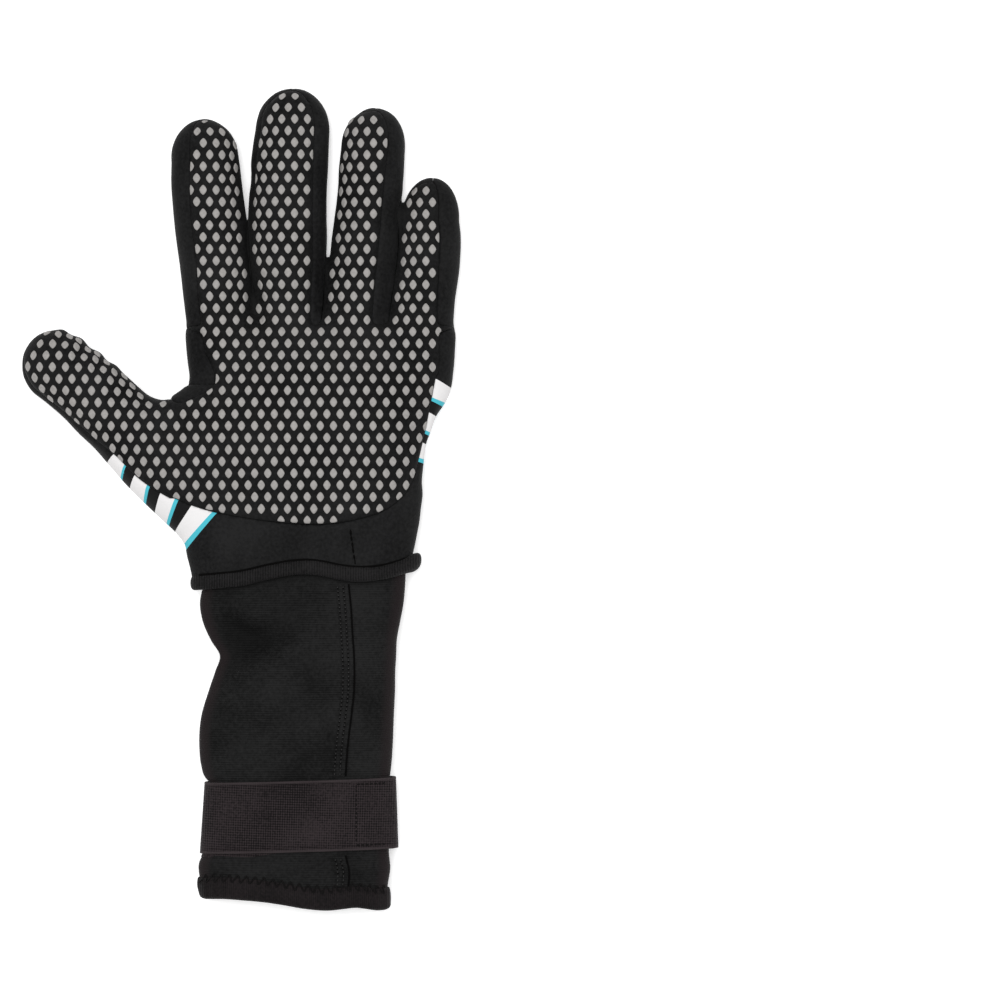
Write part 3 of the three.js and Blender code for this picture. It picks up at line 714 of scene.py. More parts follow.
def plain(name, colour, rough, specular=0.3):
    """A moulded or spun material with a little unevenness in colour and depth."""
    material, tree, shader = node_material(name)
    place = add(tree, "TexCoord").outputs["Object"]
    grain = noise(tree, place, 900.0, 3.0)
    ramp = add(tree, "ValToRGB", {"Fac": grain})
    for element, share, spot in zip(ramp.color_ramp.elements, (0.88, 1.12), (0.3, 0.7)):
        element.position = spot
        element.color = (*(min(1, c * share) for c in colour), 1)
    surface(tree, shader, ramp.outputs["Color"], rough, specular, (0.2, 0.05, grain))
    return material


NEOPRENE = ((0.0012, 0.0012, 0.0013), (0.0095, 0.0095, 0.0097), 0.85)
neoprene = cloth("neoprene", *NEOPRENE)
neoprene_bands = cloth("neoprene_bands", *NEOPRENE, bands=True)
grip_cloth = cloth("grip_cloth", (0.001, 0.001, 0.001), (0.0085, 0.0085, 0.0087), 0.8)
cuff_cloth = cloth(
    "cuff_cloth", (0.0012, 0.0012, 0.0012), (0.01, 0.01, 0.0101), 0.85, rib=(0, 1.0, 0),
    selvedge_and_rim_light=(0.0105, 0.0072, 0.0077),
)
hem_cloth = cloth(
    "hem_cloth", (0.0014, 0.0013, 0.0014), (0.0105, 0.0098, 0.0102), 0.6, rib=(1.1, 0, 0), contrast=0.45,
    even=0.5,
)
binding_cloth = cloth(
    "binding_cloth", (0.0016, 0.0012, 0.0013), (0.0112, 0.0084, 0.009), 0.6, rib=(0.9, 0, 0)
)
webbing = cloth(
    "webbing", (0.0024, 0.0015, 0.0018), (0.0235, 0.0177, 0.0192), 0.6, rib=(0.03, 1.06, 0),
    weft=(1.0, -0.03, 0), contrast=0.5, even=0.35, selvedge_and_rim_light=(0.03, 0.0235, 0.025),
)
grip_print = plain("grip_print", (0.252, 0.241, 0.232), 0.6)
thread = plain("thread", (0.0105, 0.01, 0.01), 0.6)
# Dark thread, and also the colour of painted shade in grooves, creases and stitch holes.
dark_thread_and_painted_shade = plain("dark_thread_and_painted_shade", (0.0016, 0.0014, 0.0014), 0.9, 0.05)
hem_thread = plain("hem_thread", (0.0036, 0.003, 0.0031), 0.8, 0.1)
hook_plastic = plain("hook_plastic", (0.02, 0.02, 0.02), 0.6)


# Seams


def spline_outline(points, each=8):
    """A smooth closed outline through plan points."""
    p = np.array(points, float)
    out = []
    for i in range(len(p)):
        p0, p1, p2, p3 = (p[(i + d) % len(p)] for d in (-1, 0, 1, 2))
        for t in np.arange(each) / each:
            square = (2 * p0 - 5 * p1 + 4 * p2 - p3) * t**2
            cube = (3 * p1 - p0 - 3 * p2 + p3) * t**3
            out.append(0.5 * (2 * p1 + (p2 - p0) * t + square + cube))
    return np.array(out)


def inside_outline(outline, xy):
    """How far inside an outline each plan point lies, below 0 outside."""
    best = np.full(xy.shape[:-1], 1e9)
    odd = np.zeros(xy.shape[:-1], bool)
    for a, b in zip(outline, np.roll(outline, -1, axis=0)):
        d = b - a
        v = xy - a
        t = np.clip((v @ d) / (d @ d), 0, 1)
        gap = v - t[..., None] * d
        best = np.minimum(best, (gap**2).sum(-1))
        crosses = (a[1] > xy[..., 1]) != (b[1] > xy[..., 1])
        if a[1] != b[1]:
            odd ^= crosses & (xy[..., 0] < a[0] + (xy[..., 1] - a[1]) * d[0] / d[1])
    return np.where(odd, 1, -1) * np.sqrt(best)


RIM = PALM_TOP - 1.6
palm_outline = [(a * PALM_HALF_WIDTH, palm_up(u)) for a, u in PALM_PANEL]
palm_outline = [(palm_outline[0][0], RIM), *palm_outline, (palm_outline[-1][0], RIM)]
palm_outline = spline_outline(palm_outline)


def palm_panel_reach(p):
    """How far inside the palm panel a point of the skin lies."""
    plan = inside_outline(palm_outline, p[..., :2])
    for finger in fingers.values():
        plan = smooth_max(plan, finger.strip(p[..., :2]), 2.5)
    return np.minimum(plan, p[..., 2] - PALM_SEAM_HEIGHT)


def strip_reach(left, right, p):
    """How far inside the strip between two fingers a point of the skin lies."""
    after = fingers[left].coordinates(p[..., :2])[1]
    before = -fingers[right].coordinates(p[..., :2])[1]
    level = p[..., 2] - SIDE_SEAM_HEIGHT
    return np.minimum.reduce([after, before, level, p[..., 1] - (PALM_TOP - 3)])


def gusset_reach(p):
    side = fingers["thumb"].coordinates(p[..., :2])[1]
    limit_y = palm_up(0.75) - p[..., 1]
    limit_x = -0.78 * PALM_HALF_WIDTH - p[..., 0]
    above = p[..., 1] - palm_up(0.4)
    return np.minimum.reduce([side, limit_y, limit_x, above, p[..., 2] - SIDE_SEAM_HEIGHT])


STRIPS = {
    "side_strip_index_middle": lambda p: strip_reach("index", "middle", p),
    "side_strip_middle_ring": lambda p: strip_reach("middle", "ring", p),
    "side_strip_ring_little": lambda p: strip_reach("ring", "little", p),
    "thumb_gusset": gusset_reach,
}


def hem_y(x):
    return PALM_BOTTOM + ROLL_HEIGHT * along_table(HEM_WAVE, "across", "rise", x / PALM_HALF_WIDTH)


def hump(value, width):
    return np.exp(-((value / width) ** 2))


def groove(distance):
    """How deep a seam pulls the cloth in, with the low bulge beside it."""
    return 0.6 * hump(distance, 0.8) - 0.1 * hump(np.abs(distance) - 2.4, 1.2)


# The scale and the CAD model's origin in the photograph's pixels
MM_PER_PIXEL = 0.43
ORIGIN_PIXEL = (322, 430)
PHOTO_PIXELS = 1000


def photo_mm(x, y):
    return np.array([(x - ORIGIN_PIXEL[0]) * MM_PER_PIXEL, (ORIGIN_PIXEL[1] - y) * MM_PER_PIXEL])


# The edges of the stripes, each a line through two points in pixels, from the fingers to the wrist
THUMB_BANDS = [
    ((108, 462.6), (114.4, 455.2)), ((122, 476), (125, 466.8)), ((124, 477.5), (127, 467.6)),
    ((132, 485), (135.5, 477)), ((145, 499), (148.5, 485)), ((147.6, 501), (151.5, 487)),
    ((156.7, 509), (161.5, 495)), ((167.8, 522), (176.5, 499.5)), ((170.4, 524.5), (180.2, 501)),
    ((175.8, 531.5), (193.5, 505.7)), ((184.6, 544), (214.5, 511.5)), ((187, 549.5), (219.5, 512)),
]
LITTLE_BANDS = [
    ((441.3, 382.2), (446.1, 385.1)), ((434.6, 398.8), (440.3, 401)), ((434.8, 402.8), (439.6, 405.2)),
    ((430.8, 413.3), (435.6, 416.2)), ((427.9, 431.3), (431.7, 433.4)), ((427.9, 435.2), (431.5, 437.2)),
    ((424.8, 443.4), (428, 445.6)), ((421.7, 458.4), (426, 460.3)), ((421.2, 462.6), (425.5, 464.5)),
]


def band_values(xy, lines):
    """A number that passes 1, 2, 3 and so on at the lines, equally steep on both sides of each."""
    signed = []
    for start, end in lines:
        a, b = photo_mm(*start), photo_mm(*end)
        d = (b - a) / np.linalg.norm(b - a)
        signed.append((xy - a) @ np.array([d[1], -d[0]]))
    value = np.clip(1 + signed[0] / 2, 0, 0.999)
    for i in range(len(lines) - 1):
        past, left = signed[i], -signed[i + 1]
        share = np.where(past < left, np.clip(past, 0, 1) / 2, 1 - np.clip(left, 0, 1) / 2)
        value = np.where(past > 0, i + 1 + share, value)
    value = np.where(signed[-1] > 0, len(lines) + np.clip(signed[-1], 0, 1.8) / 2, value)
    return value, (signed[0] > -0.9) & (signed[-1] < 0.9)


def heel_x(y):
    """The line of the short upright seam on the heel of the hand."""
    return 12.8 - 0.155 * (y + 42.6)


def at_tip(xy):
    """1 at the very end of a finger, 0 elsewhere."""
    share = np.zeros(xy.shape[:-1])
    for finger in fingers.values():
        along, side = finger.coordinates(xy)
        near = smoothstep(finger.length - 5, finger.length - 1.5, along) * (np.abs(side) < finger.width)
        share = np.maximum(share, near)
    return share


def between_fingers(points):
    """1 deep in the valley between two fingers, 0 elsewhere; it sets the painted shade there."""
    fields = [fingers[name].field(points) for name in ("index", "middle", "ring", "little")]
    second = np.sort(np.stack(fields), axis=0)[1]
    return smoothstep(2.6, 0.2, second) * smoothstep(47, 56, points[:, 1])


# The hand's mesh: its box, and a cell that keeps the back panel under 200,000 triangles
HAND_LOW = (-134.0, PALM_BOTTOM - 16, -2.0)
HAND_HIGH = (66.0, 152.0, PALM_HEIGHT + 3)
HAND_CELL = 0.97
BESIDE_PANEL = 0.1
BESIDE_STRIP = 0.08
SKIN_WALL = HAND_WALL * 0.85
LINE_RADIUS = 0.42


def hand_pieces():
    points, quads = surface_net(hand_field, HAND_LOW, HAND_HIGH, HAND_CELL)
    points, _ = settle(hand_field, points, 4)
    triangles = to_triangles(quads)
    triangles = outward(points, triangles)
    above_hem = points[:, 1] - hem_y(points[:, 0]) - ROLL_HEIGHT * 0.28
    points, triangles = keep_above(points, triangles, above_hem)
    points, triangles = keep_above(points, triangles, points[:, 1] - (PALM_BOTTOM - 10))

    panel = palm_panel_reach(points)
    finish("palm_panel", *keep_above(points, triangles, panel - BESIDE_PANEL), grip_cloth, "grip_neoprene")
    rest, rest_triangles = keep_above(points, triangles, -panel - BESIDE_PANEL)
    strips = {name: reach(rest) for name, reach in STRIPS.items()}
    for name, reach in strips.items():
        kept = keep_above(rest, rest_triangles, reach - BESIDE_STRIP)
        finish(name, *kept, neoprene, "side_neoprene")
    back = -np.maximum.reduce(list(strips.values())) - BESIDE_STRIP
    finish("back_panel", *keep_above(rest, rest_triangles, back), neoprene_bands, "neoprene")


def finish(name, points, triangles, material, slot):
    """Cuts the seam grooves into a panel, thickens it and makes it a piece."""
    points, triangles = without_crumbs(points, triangles)
    _, normals = settle(hand_field, points, 0)
    panel = palm_panel_reach(points)
    depth = groove(panel)
    if name != "palm_panel":
        seams = np.stack([np.abs(reach(points)) for reach in STRIPS.values()]).min(0)
        depth = np.maximum(depth, groove(seams) * smoothstep(-0.05, -0.6, panel))
    if name == "back_panel":
        heel = np.abs(points[:, 0] - heel_x(points[:, 1])) + 9 * (points[:, 2] < 12)
        depth = depth + 0.7 * hump(heel, 0.7) * smoothstep(-41, -43, points[:, 1])
    depth = depth * (1 - 0.75 * at_tip(points[:, :2]))
    values = {}
    if name == "back_panel":
        thumb, by_thumb = band_values(points[:, :2], THUMB_BANDS)
        little, by_little = band_values(points[:, :2], LITTLE_BANDS)
        side = points[:, 0] > 0
        band = np.where(side, little, thumb) / BAND_STEPS
        share = points[:, 0] / PALM_HALF_WIDTH
        reach = np.where(side, share > 0.64, share < -0.54)
        reach = reach & np.where(side, by_little & (points[:, 1] < 24), by_thumb & (points[:, 1] < 2))
        shown = reach * smoothstep(2.0, 3.0, points[:, 2])
        values = {"band": np.tile(band, 2), "painted": np.tile(shown, 2)}
    # Painted shade in the valleys between the fingers.
    values["shade"] = np.tile(0.75 * between_fingers(points), 2)
    skin = points - normals * depth[:, None]
    skin[:, 2] = np.maximum(skin[:, 2], 0.02)
    all_points, faces = thickened(skin, normals, triangles, SKIN_WALL)
    make_piece(name, all_points, faces, material, name, slot, values)


hand_pieces()


# Grip pips

PIP_PITCH_X = 5.6
PIP_PITCH_Y = 5.05
PIP_HALF = (1.62, 2.2)
PIP_POWER = 1.45
PIP_SIDES = 18
PIP_HEIGHT = 0.42
PIP_SEAM_GAP = 0.45
PIP_ROWS = range(-12, 34)
PIP_COLUMNS = range(-24, 12)
PIP_FIRST_ROW = 1.5
PIP_INSIDE = 0.55
PIP_FACES_UP = 0.27
PIP_APART = 3.6
DROP_ROUNDS = 45


def dropped(points):
    """Lowers points onto the hand from above it."""
    for _ in range(DROP_ROUNDS):
        points[..., 2] = np.maximum(points[..., 2] - 0.8 * hand_field(points), 1.0)
    return points


def on_skin(pattern):
    """Lays plan points of the flat grip cloth onto the hand, where it rounds a finger's side too."""
    xy = pattern.copy()
    nearest = np.full(xy.shape[:-1], 1e9)
    wrapped, share = xy.copy(), np.zeros(xy.shape[:-1])
    for name, finger in fingers.items():
        along, side = finger.coordinates(pattern)
        half = finger.half_width(along)
        if name == "thumb":
            amount = np.where(side > 0, smoothstep(50, 62, along), smoothstep(28, 46, along))
        else:
            amount = smoothstep(10, 22, along)
        turn = np.clip(side / half, -1.5, 1.5)
        place = finger.plan(along, half * np.sin(turn))
        gap = np.abs(side) / half
        mine = (gap < nearest) & (amount > 0) & (gap < 1.7)
        nearest = np.where(mine, gap, nearest)
        wrapped = np.where(mine[..., None], place, wrapped)
        share = np.where(mine, amount, share)
    xy = xy + (wrapped - xy) * share[..., None]
    points = np.concatenate([xy, np.full(xy.shape[:-1] + (1,), PALM_HEIGHT + 5)], axis=-1)
    return settle(hand_field, dropped(points), 1)


def pip_centres():
    """Seats of the pips on the skin, on a plain upright staggered lattice, no two closer than a pip."""
    centres = []
    for row in PIP_ROWS:
        shift = PIP_PITCH_X / 2 if row % 2 else 0
        for column in PIP_COLUMNS:
            centres.append((column * PIP_PITCH_X + shift, row * PIP_PITCH_Y + PIP_FIRST_ROW))
    seats, normals = on_skin(np.array(centres))
    inside = (palm_panel_reach(seats) > PIP_INSIDE) & (normals[:, 2] > PIP_FACES_UP)
    seats, normals = seats[inside], normals[inside]
    kept = []
    for i, seat in enumerate(seats):
        gaps = np.linalg.norm((seats[kept] - seat) / (1, 1.3, 1), axis=1)
        if gaps.min(initial=2 * PIP_APART) > PIP_APART:
            kept.append(i)
    return seats[kept], normals[kept]


def grip_pips():
    angle = 2 * math.pi * np.arange(PIP_SIDES) / PIP_SIDES
    outline = np.stack(oval((0, *PIP_HALF, 0), angle, 0, PIP_POWER), -1)
    seats, normals = pip_centres()
    across = np.cross([0.0, 1.0, 0.0], normals)
    across /= np.linalg.norm(across, axis=1)[:, None]
    upward = np.cross(normals, across)
    wide, tall = outline[None, :, :1], outline[None, :, 1:]
    flat = seats[:, None] + across[:, None] * wide + upward[:, None] * tall
    rim, _ = settle(hand_field, flat, 3)
    seat_reach = palm_panel_reach(seats)[:, None]
    rim_reach = palm_panel_reach(rim)
    share = np.clip((seat_reach - PIP_SEAM_GAP) / np.maximum(seat_reach - rim_reach, 1e-6), 0, 1)
    share = np.where(rim_reach < PIP_SEAM_GAP, share, 1)
    flat = seats[:, None] + (flat - seats[:, None]) * share[..., None]
    rings = [(1.0, -0.08), (0.97, 0.2), (0.86, 0.36), (0.6, PIP_HEIGHT)]
    lift = np.concatenate([np.full(PIP_SIDES, rise) for _, rise in rings] + [[PIP_HEIGHT]])
    pattern = [seats[:, None] + (flat - seats[:, None]) * grow for grow, _ in rings]
    pattern = np.concatenate([*pattern, seats[:, None]], 1)
    points, directions = settle(hand_field, pattern, 3)
    depth = groove(palm_panel_reach(points))
    points = points + directions * (lift - depth)[..., None]
    count = points.shape[1]
    faces = []
    for ring in range(len(rings) - 1):
        for side in range(PIP_SIDES):
            a, b = ring * PIP_SIDES + side, ring * PIP_SIDES + (side + 1) % PIP_SIDES
            faces += [(a, b, b + PIP_SIDES), (a, b + PIP_SIDES, a + PIP_SIDES)]
    top = (len(rings) - 1) * PIP_SIDES
    faces += [(top + s, top + (s + 1) % PIP_SIDES, count - 1) for s in range(PIP_SIDES)]
    faces += [(0, s + 1, s) for s in range(1, PIP_SIDES - 1)]
    all_faces = repeated(np.array(faces), count, len(points))
    make_piece("grip_pips", points.reshape(-1, 3), all_faces, grip_print, None, "grip_print")


grip_pips()


# Cuff


def edge_drop(x):
    return BINDING_DROP * along_table(EDGE_WAVE, "across", "drop", (x - CUFF_AXIS_X) / CUFF_HALF_WIDTH)


def cuff_section(down):
    """Middle, half-width, half-height, middle height and floor of the cuff's outer skin."""
    left = along_table(CUFF_SECTIONS, "down", "left", down) * CUFF_HALF_WIDTH
    right = along_table(CUFF_SECTIONS, "down", "right", down) * CUFF_HALF_WIDTH
    high = along_table(CUFF_SECTIONS, "down", "high", down) * CUFF_HEIGHT
    past = (STRAP_TOP + STRAP_WIDTH) / CUFF_LENGTH + 0.02
    floor = CUFF_FLOOR + (CUFF_END_FLOOR - CUFF_FLOOR) * smoothstep(past, 1, down)
    top = CUFF_FLOOR + high
    half_height = (top - floor) * CREST
    return CUFF_AXIS_X + (left + right) / 2, (right - left) / 2, half_height, top - half_height, floor


SEAM_LINE = dict(
    y=[-203, -196, -189, -182, -147, -133, -122, -111.5, -97, -87, -76, -65],
    x=[9.2, 9.3, 9.7, 8.2, 8.2, 9.3, 10.7, 11.8, 11.8, 11.1, 10.4, 9.3],
)
SEAM_ROWS = (-2.4, 0.0, 2.5)
SEAM_HALF = 3.4
SEAM_COLUMNS = 45
SEAM_PITCH = 1.75


def seam_x(y):
    return along_table(SEAM_LINE, "y", "x", y)


def dent_share(x, y):
    """How far each dent reaches at a plan point of the cuff, as a share of the full depth, one by one."""
    for across, at, turn, length, width, deep in CUFF_FOLDS:
        c, s = math.cos(math.radians(turn)), math.sin(math.radians(turn))
        dx = (x - CUFF_AXIS_X) / CUFF_HALF_WIDTH - across
        dy = (y - PALM_BOTTOM + at * CUFF_LENGTH) / CUFF_HALF_WIDTH
        yield deep * np.exp(-(((dx * c + dy * s) / length) ** 2) - ((dy * c - dx * s) / width) ** 2)


def cuff_skin(down, angle, grow=0.0, detail=1.0):
    """Points of the cuff's skin, moved out by grow."""
    section = cuff_section(down)
    x, z = oval(section, angle, grow, CUFF_SQUARENESS)
    edge = along_table(CUFF_SECTIONS, "down", "edge", down)
    y = PALM_BOTTOM - down * CUFF_LENGTH + edge * (BINDING_WALL + SEAM_GAP - edge_drop(x))
    upper = smoothstep(CUFF_FLOOR + CUFF_HEIGHT * 0.45, CUFF_FLOOR + CUFF_HEIGHT, z)
    z = z - upper * FOLD_DEPTH * sum(dent_share(x, y))
    free = smoothstep(0.0, 0.12, down) * (1 - smoothstep(0.55, 0.62, down)) * detail
    p = np.stack([x, y, z], -1)
    side = smoothstep(CUFF_FLOOR + 1, CUFF_FLOOR + 8, z)
    z = z + side * free * (0.55 * soft_noise(p, 21.0, 5) + 0.25 * soft_noise(p, 9.0, 6))
    return np.stack([x, y, np.maximum(section[-1] - min(grow, CUFF_FLOOR), z)], -1)


def upper_normals(skin, u, v):
    """Points of a skin given by two numbers, and its normals turned up."""
    h = 1e-3
    du = skin(u + h, v) - skin(u - h, v)
    dv = skin(u, v + h) - skin(u, v - h)
    n = np.cross(du, dv)
    n /= np.maximum(np.linalg.norm(n, axis=-1), 1e-9)[..., None]
    return skin(u, v), np.where(n[..., 2:] < 0, -n, n)


def angle_at(share):
    """The angle of a place on the cuff's oval, from its share of the half-width."""
    return np.arccos(np.sign(share) * np.abs(share) ** (CUFF_SQUARENESS / 2))


UPPER_SHARE = 0.64
UPPER_PAST = 0.12


def around(count):
    """Angles round an oval, closer together over its upper side."""
    top = int(count * UPPER_SHARE)
    end = math.pi + UPPER_PAST
    upper = np.linspace(-UPPER_PAST, end, top, endpoint=False)
    lower = np.linspace(end, 2 * math.pi - UPPER_PAST, count - top, endpoint=False)
    return np.concatenate([upper, lower])


def cuff_piece():
    columns = 250
    rows = 180
    angle = around(columns)
    down = np.linspace(-CUFF_TUCK / CUFF_LENGTH, 1, rows)
    outer = cuff_skin(down[:, None], angle[None, :])
    lining = cuff_skin(down[::4][:, None], angle[None, :], -CUFF_WALL, 0)
    last = cuff_skin(down[-1:][:, None], angle[None, :], -CUFF_WALL, 0)
    lining = np.concatenate([lining, last])[::-1]
    rim = [(outer[-1] + lining[0]) / 2 + np.array([0, -0.4, 0])]
    top_rim = [(outer[0] + lining[-1]) / 2 + np.array([0, 0.4, 0])]
    grid = np.concatenate([outer, rim, lining, top_rim])
    points = grid.reshape(-1, 3)
    # Painted shade in the cuff's fold valleys, and a painted shadow just below the rolled hem.
    shade = 0.36 * np.clip(sum(dent_share(points[:, 0], points[:, 1])) - 0.4, 0, 1.6)
    below_roll = hem_y(points[:, 0]) - ROLL_HEIGHT / 2 - points[:, 1]
    shade = shade + 0.55 * hump(below_roll - 0.2, 1.4)
    # Painted rim light: the cuff's steep sides are mixed towards a lighter, warmer tone.
    side = np.abs(bulge_power(np.cos(angle), CUFF_SQUARENESS))
    painted_rim_light = np.tile(0.85 * smoothstep(0.84, 0.95, side), len(grid))
    values = {"shade": np.clip(shade, 0, 0.8), "selvedge_and_rim_light": painted_rim_light}
    ring_piece("cuff", grid, cuff_cloth, "cuff_neoprene", values)


cuff_piece()


def cuff_top(x, y):
    """Angle and share down of a plan point on the cuff's upper side."""
    down = (PALM_BOTTOM - y) / CUFF_LENGTH
    for _ in range(4):
        centre, w = cuff_section(down)[:2]
        angle = angle_at(np.clip((x - centre) / w, -0.999, 0.999))
        down = down - (y - cuff_skin(down, angle)[..., 1]) / CUFF_LENGTH
    return down, angle


def stitches(name, paths, material, slot, pitch, length, radius, lift=0.0):
    """Short threads along paths of points with normals, as small closed capsules; dark ones also stand for
    painted shade in stitch holes.
    """
    sides, rings = 6, [(-0.5, 0.0), (-0.42, 0.7), (-0.18, 1.0), (0.18, 1.0), (0.42, 0.7), (0.5, 0.0)]
    starts, ends, ups = [], [], []
    for points, normals in paths:
        gaps = np.linalg.norm(np.diff(points, axis=0), axis=1)
        way = np.concatenate([[0], np.cumsum(gaps)])
        for at in np.arange(pitch / 2, way[-1] - pitch / 2, pitch):
            starts.append([np.interp(at - length / 2, way, column) for column in points.T])
            ends.append([np.interp(at + length / 2, way, column) for column in points.T])
            ups.append([np.interp(at, way, column) for column in normals.T])
    a, b, up = np.array(starts), np.array(ends), np.array(ups)
    ahead = b - a
    size = np.linalg.norm(ahead, axis=1)[:, None]
    ahead = ahead / size
    up = up / np.linalg.norm(up, axis=1)[:, None]
    side = np.cross(up, ahead)
    middle = (a + b) / 2 + up * lift
    shell = []
    for along, wide in rings:
        for i in range(sides):
            t = 2 * math.pi * i / sides
            arch = -0.25 * radius * (2 * along) ** 2
            r = radius * wide
            bow = side * (r * math.cos(t)) + up * (r * math.sin(t) + arch)
            shell.append(middle + ahead * size * along + bow)
    points = np.stack(shell, 1)
    count = points.shape[1]
    faces = []
    for ring in range(len(rings) - 1):
        for i in range(sides):
            p, q = ring * sides + i, ring * sides + (i + 1) % sides
            faces += [(p, q, q + sides, p + sides)]
    all_faces = repeated(np.array(faces), count, len(points))
    make_piece(name, points.reshape(-1, 3), all_faces, material, None, slot)


def cuff_path(x, y):
    """Points and normals of the cuff's upper side at plan points."""
    return upper_normals(cuff_skin, *cuff_top(x, y))


def tube(name, points, radius, material, slot):
    """A closed round tube along a line of points, for thread and for strips of painted shade in grooves.
    """
    sides = 6
    ahead = np.gradient(points, axis=0)
    ahead /= np.linalg.norm(ahead, axis=1)[:, None]
    side = np.cross(ahead, [0.0, 0.0, 1.0])
    side /= np.maximum(np.linalg.norm(side, axis=1), 1e-6)[:, None]
    up = np.cross(side, ahead)
    turns = 2 * math.pi * np.arange(sides) / sides
    ring = side[:, None] * np.cos(turns)[:, None] + up[:, None] * np.sin(turns)[:, None]
    shell = (points[:, None] + radius * ring).reshape(-1, 3)
    faces = to_triangles(ring_faces(len(points), sides, False))
    last = len(shell) - sides
    caps = [(0, i, i + 1) for i in range(1, sides - 1)]
    caps += [(last, last + i + 1, last + i) for i in range(1, sides - 1)]
    faces = np.concatenate([faces, caps])
    make_piece(name, shell, outward(shell, faces), material, None, slot)


def seam_height(across):
    """The sewn band's height over the cuff: a low ridge with a groove at each row of stitches."""
    height = 0.42 * smoothstep(SEAM_HALF, SEAM_HALF - 0.5, np.abs(across)) - 0.02
    for row, depth in zip(SEAM_ROWS, (0.35, 0.35, 0.75)):
        height = height - depth * hump(across - row, 0.42)
    return height


def cuff_seam(name, low, high):
    """The flat sewn band down the cuff between two heights, with its rows of stitches."""
    rows = int((high - low) / (0.4))
    y = np.linspace(low, high, rows)[:, None]
    across = np.linspace(-SEAM_HALF, SEAM_HALF, SEAM_COLUMNS)[None, :]
    points, normals = cuff_path(seam_x(y) + across, y + 0 * across)
    pucker = 0.05 * np.sin(2 * math.pi * y / 2.1)
    rise = seam_height(across) + pucker * (np.abs(across) < SEAM_HALF - 0.6)
    top = points + normals * rise[..., None]
    under = points - normals * 0.9
    count = rows * SEAM_COLUMNS
    grid = np.arange(count).reshape(rows, SEAM_COLUMNS)
    quads = np.stack([grid[:-1, :-1], grid[:-1, 1:], grid[1:, 1:], grid[1:, :-1]], -1).reshape(-1, 4)
    skin = np.concatenate([quads, quads[:, ::-1] + count])
    rim = open_edges(quads)
    sides = np.stack([rim[:, 1], rim[:, 0], rim[:, 0] + count, rim[:, 1] + count], 1)
    mesh = np.concatenate([top.reshape(-1, 3), under.reshape(-1, 3)])
    faces = outward(mesh, np.concatenate([skin, sides]))
    make_piece(name, mesh, faces, cuff_cloth, None, "cuff_neoprene")
    at = np.linspace(low + 0.4, high - 0.3, rows)
    paths = [cuff_path(seam_x(at) + row, at) for row in SEAM_ROWS[:2]]
    stitches(name + "_stitches", paths, thread, "cuff_neoprene", SEAM_PITCH, 1.05, radius=0.3, lift=0.12)
    # Dark capsules of painted shade in the stitch holes between the threads.
    holes = [(points[12:], normals[12:]) for points, normals in paths]
    stitches(name + "_holes", holes, dark_thread_and_painted_shade, "cuff_neoprene", SEAM_PITCH, 0.8, radius=0.52)
    # A dark tube of painted shade in the groove of the third row.
    line, up = cuff_path(seam_x(at) + SEAM_ROWS[2], at)
    tube(name + "_line", line - up * 0.05, LINE_RADIUS, dark_thread_and_painted_shade, "cuff_neoprene")


cuff_seam("cuff_seam", -148.5, -65.8)
cuff_seam("cuff_seam_end", -195.5, -181.6)


# Rolled hem

ROLL_SQUARENESS = 2.3


def wrist_roll():
    columns, steps = ((320, 28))
    angle = around(columns)
    centre, w, h, middle = palm_section(np.array(PALM_BOTTOM))
    grid = []
    for step in range(steps):
        turn = 2 * math.pi * step / steps
        swell = bulge_power(np.cos(turn), ROLL_SQUARENESS)
        out = (ROLL_BULGE - HAND_WALL) / 2 + (ROLL_BULGE + HAND_WALL) / 2 * swell
        lip = ROLL_LIP * max(0.0, math.cos(turn))
        x = centre + lip / 2 + (w + out + lip / 2) * bulge_power(np.cos(angle), PALM_SQUARENESS)
        z = middle + (h + out) * bulge_power(np.sin(angle), PALM_SQUARENESS)
        full = 1 + 0.75 * smoothstep(0.6, 0.85, x / PALM_HALF_WIDTH)
        y = hem_y(x) + full * ROLL_HEIGHT / 2 * bulge_power(np.sin(turn), ROLL_SQUARENESS)
        p = np.stack([x, y, z], -1)
        shake = soft_noise(p, 8.0, 9) * 0.3
        z = np.maximum(max(0.02, -out), z + shake * smoothstep(4, 9, z))
        grid.append(np.stack([x, y + shake, z], -1))
    ring_piece("wrist_roll", grid, hem_cloth, "hem_jersey")


wrist_roll()


# Binding


def cuff_binding():
    columns = 320
    angle = around(columns)
    reach = SEAM_GAP + BINDING_WALL
    profile = [(SEAM_GAP * 0.3, BINDING_HEIGHT)]
    edge = ((0.25, 1.01), (0.4, 0.99), (0.55, 0.94), (0.75, 0.82), (0.92, 0.68), (1.0, 0.55), (1.0, 0.4))
    profile += [(reach * grow, BINDING_HEIGHT * up) for grow, up in edge]
    half = (CUFF_WALL + 2 * reach) / 2
    for t in np.linspace(0, math.pi, 9):
        profile.append((reach - half + half * math.cos(t), 1.9 - 1.9 * math.sin(t)))
    profile += [(-CUFF_WALL - reach, BINDING_HEIGHT * t) for t in (0.4, 0.7, 1.0)]
    inner = -CUFF_WALL - SEAM_GAP
    profile += [(inner, BINDING_HEIGHT), (inner, BINDING_WALL), (SEAM_GAP, BINDING_WALL)]
    grid = []
    for grow, up in profile:
        section = cuff_section(np.array(1 - up / CUFF_LENGTH))
        x, z = oval(section, angle, grow, CUFF_SQUARENESS)
        y = PALM_BOTTOM - CUFF_LENGTH - edge_drop(x) + up
        z = z + (0.15 * np.sin(x * 1.6) if grow > 0.3 else 0) * smoothstep(8, 14, z)
        grid.append(np.stack([x, y, np.maximum(section[-1] - grow, z)], -1))
    ring_piece("cuff_binding", grid, binding_cloth, "binding_tape")


cuff_binding()


# Strap

# The strap's two sides, as shares of the cuff's half-width, along its width.
STRAP_SIDES = dict(across=[0, 1], left=[-0.88, -0.929], right=[0.989, 1.014])
STRAP_TILT = math.tan(math.radians(STRAP_TILT_DEG))


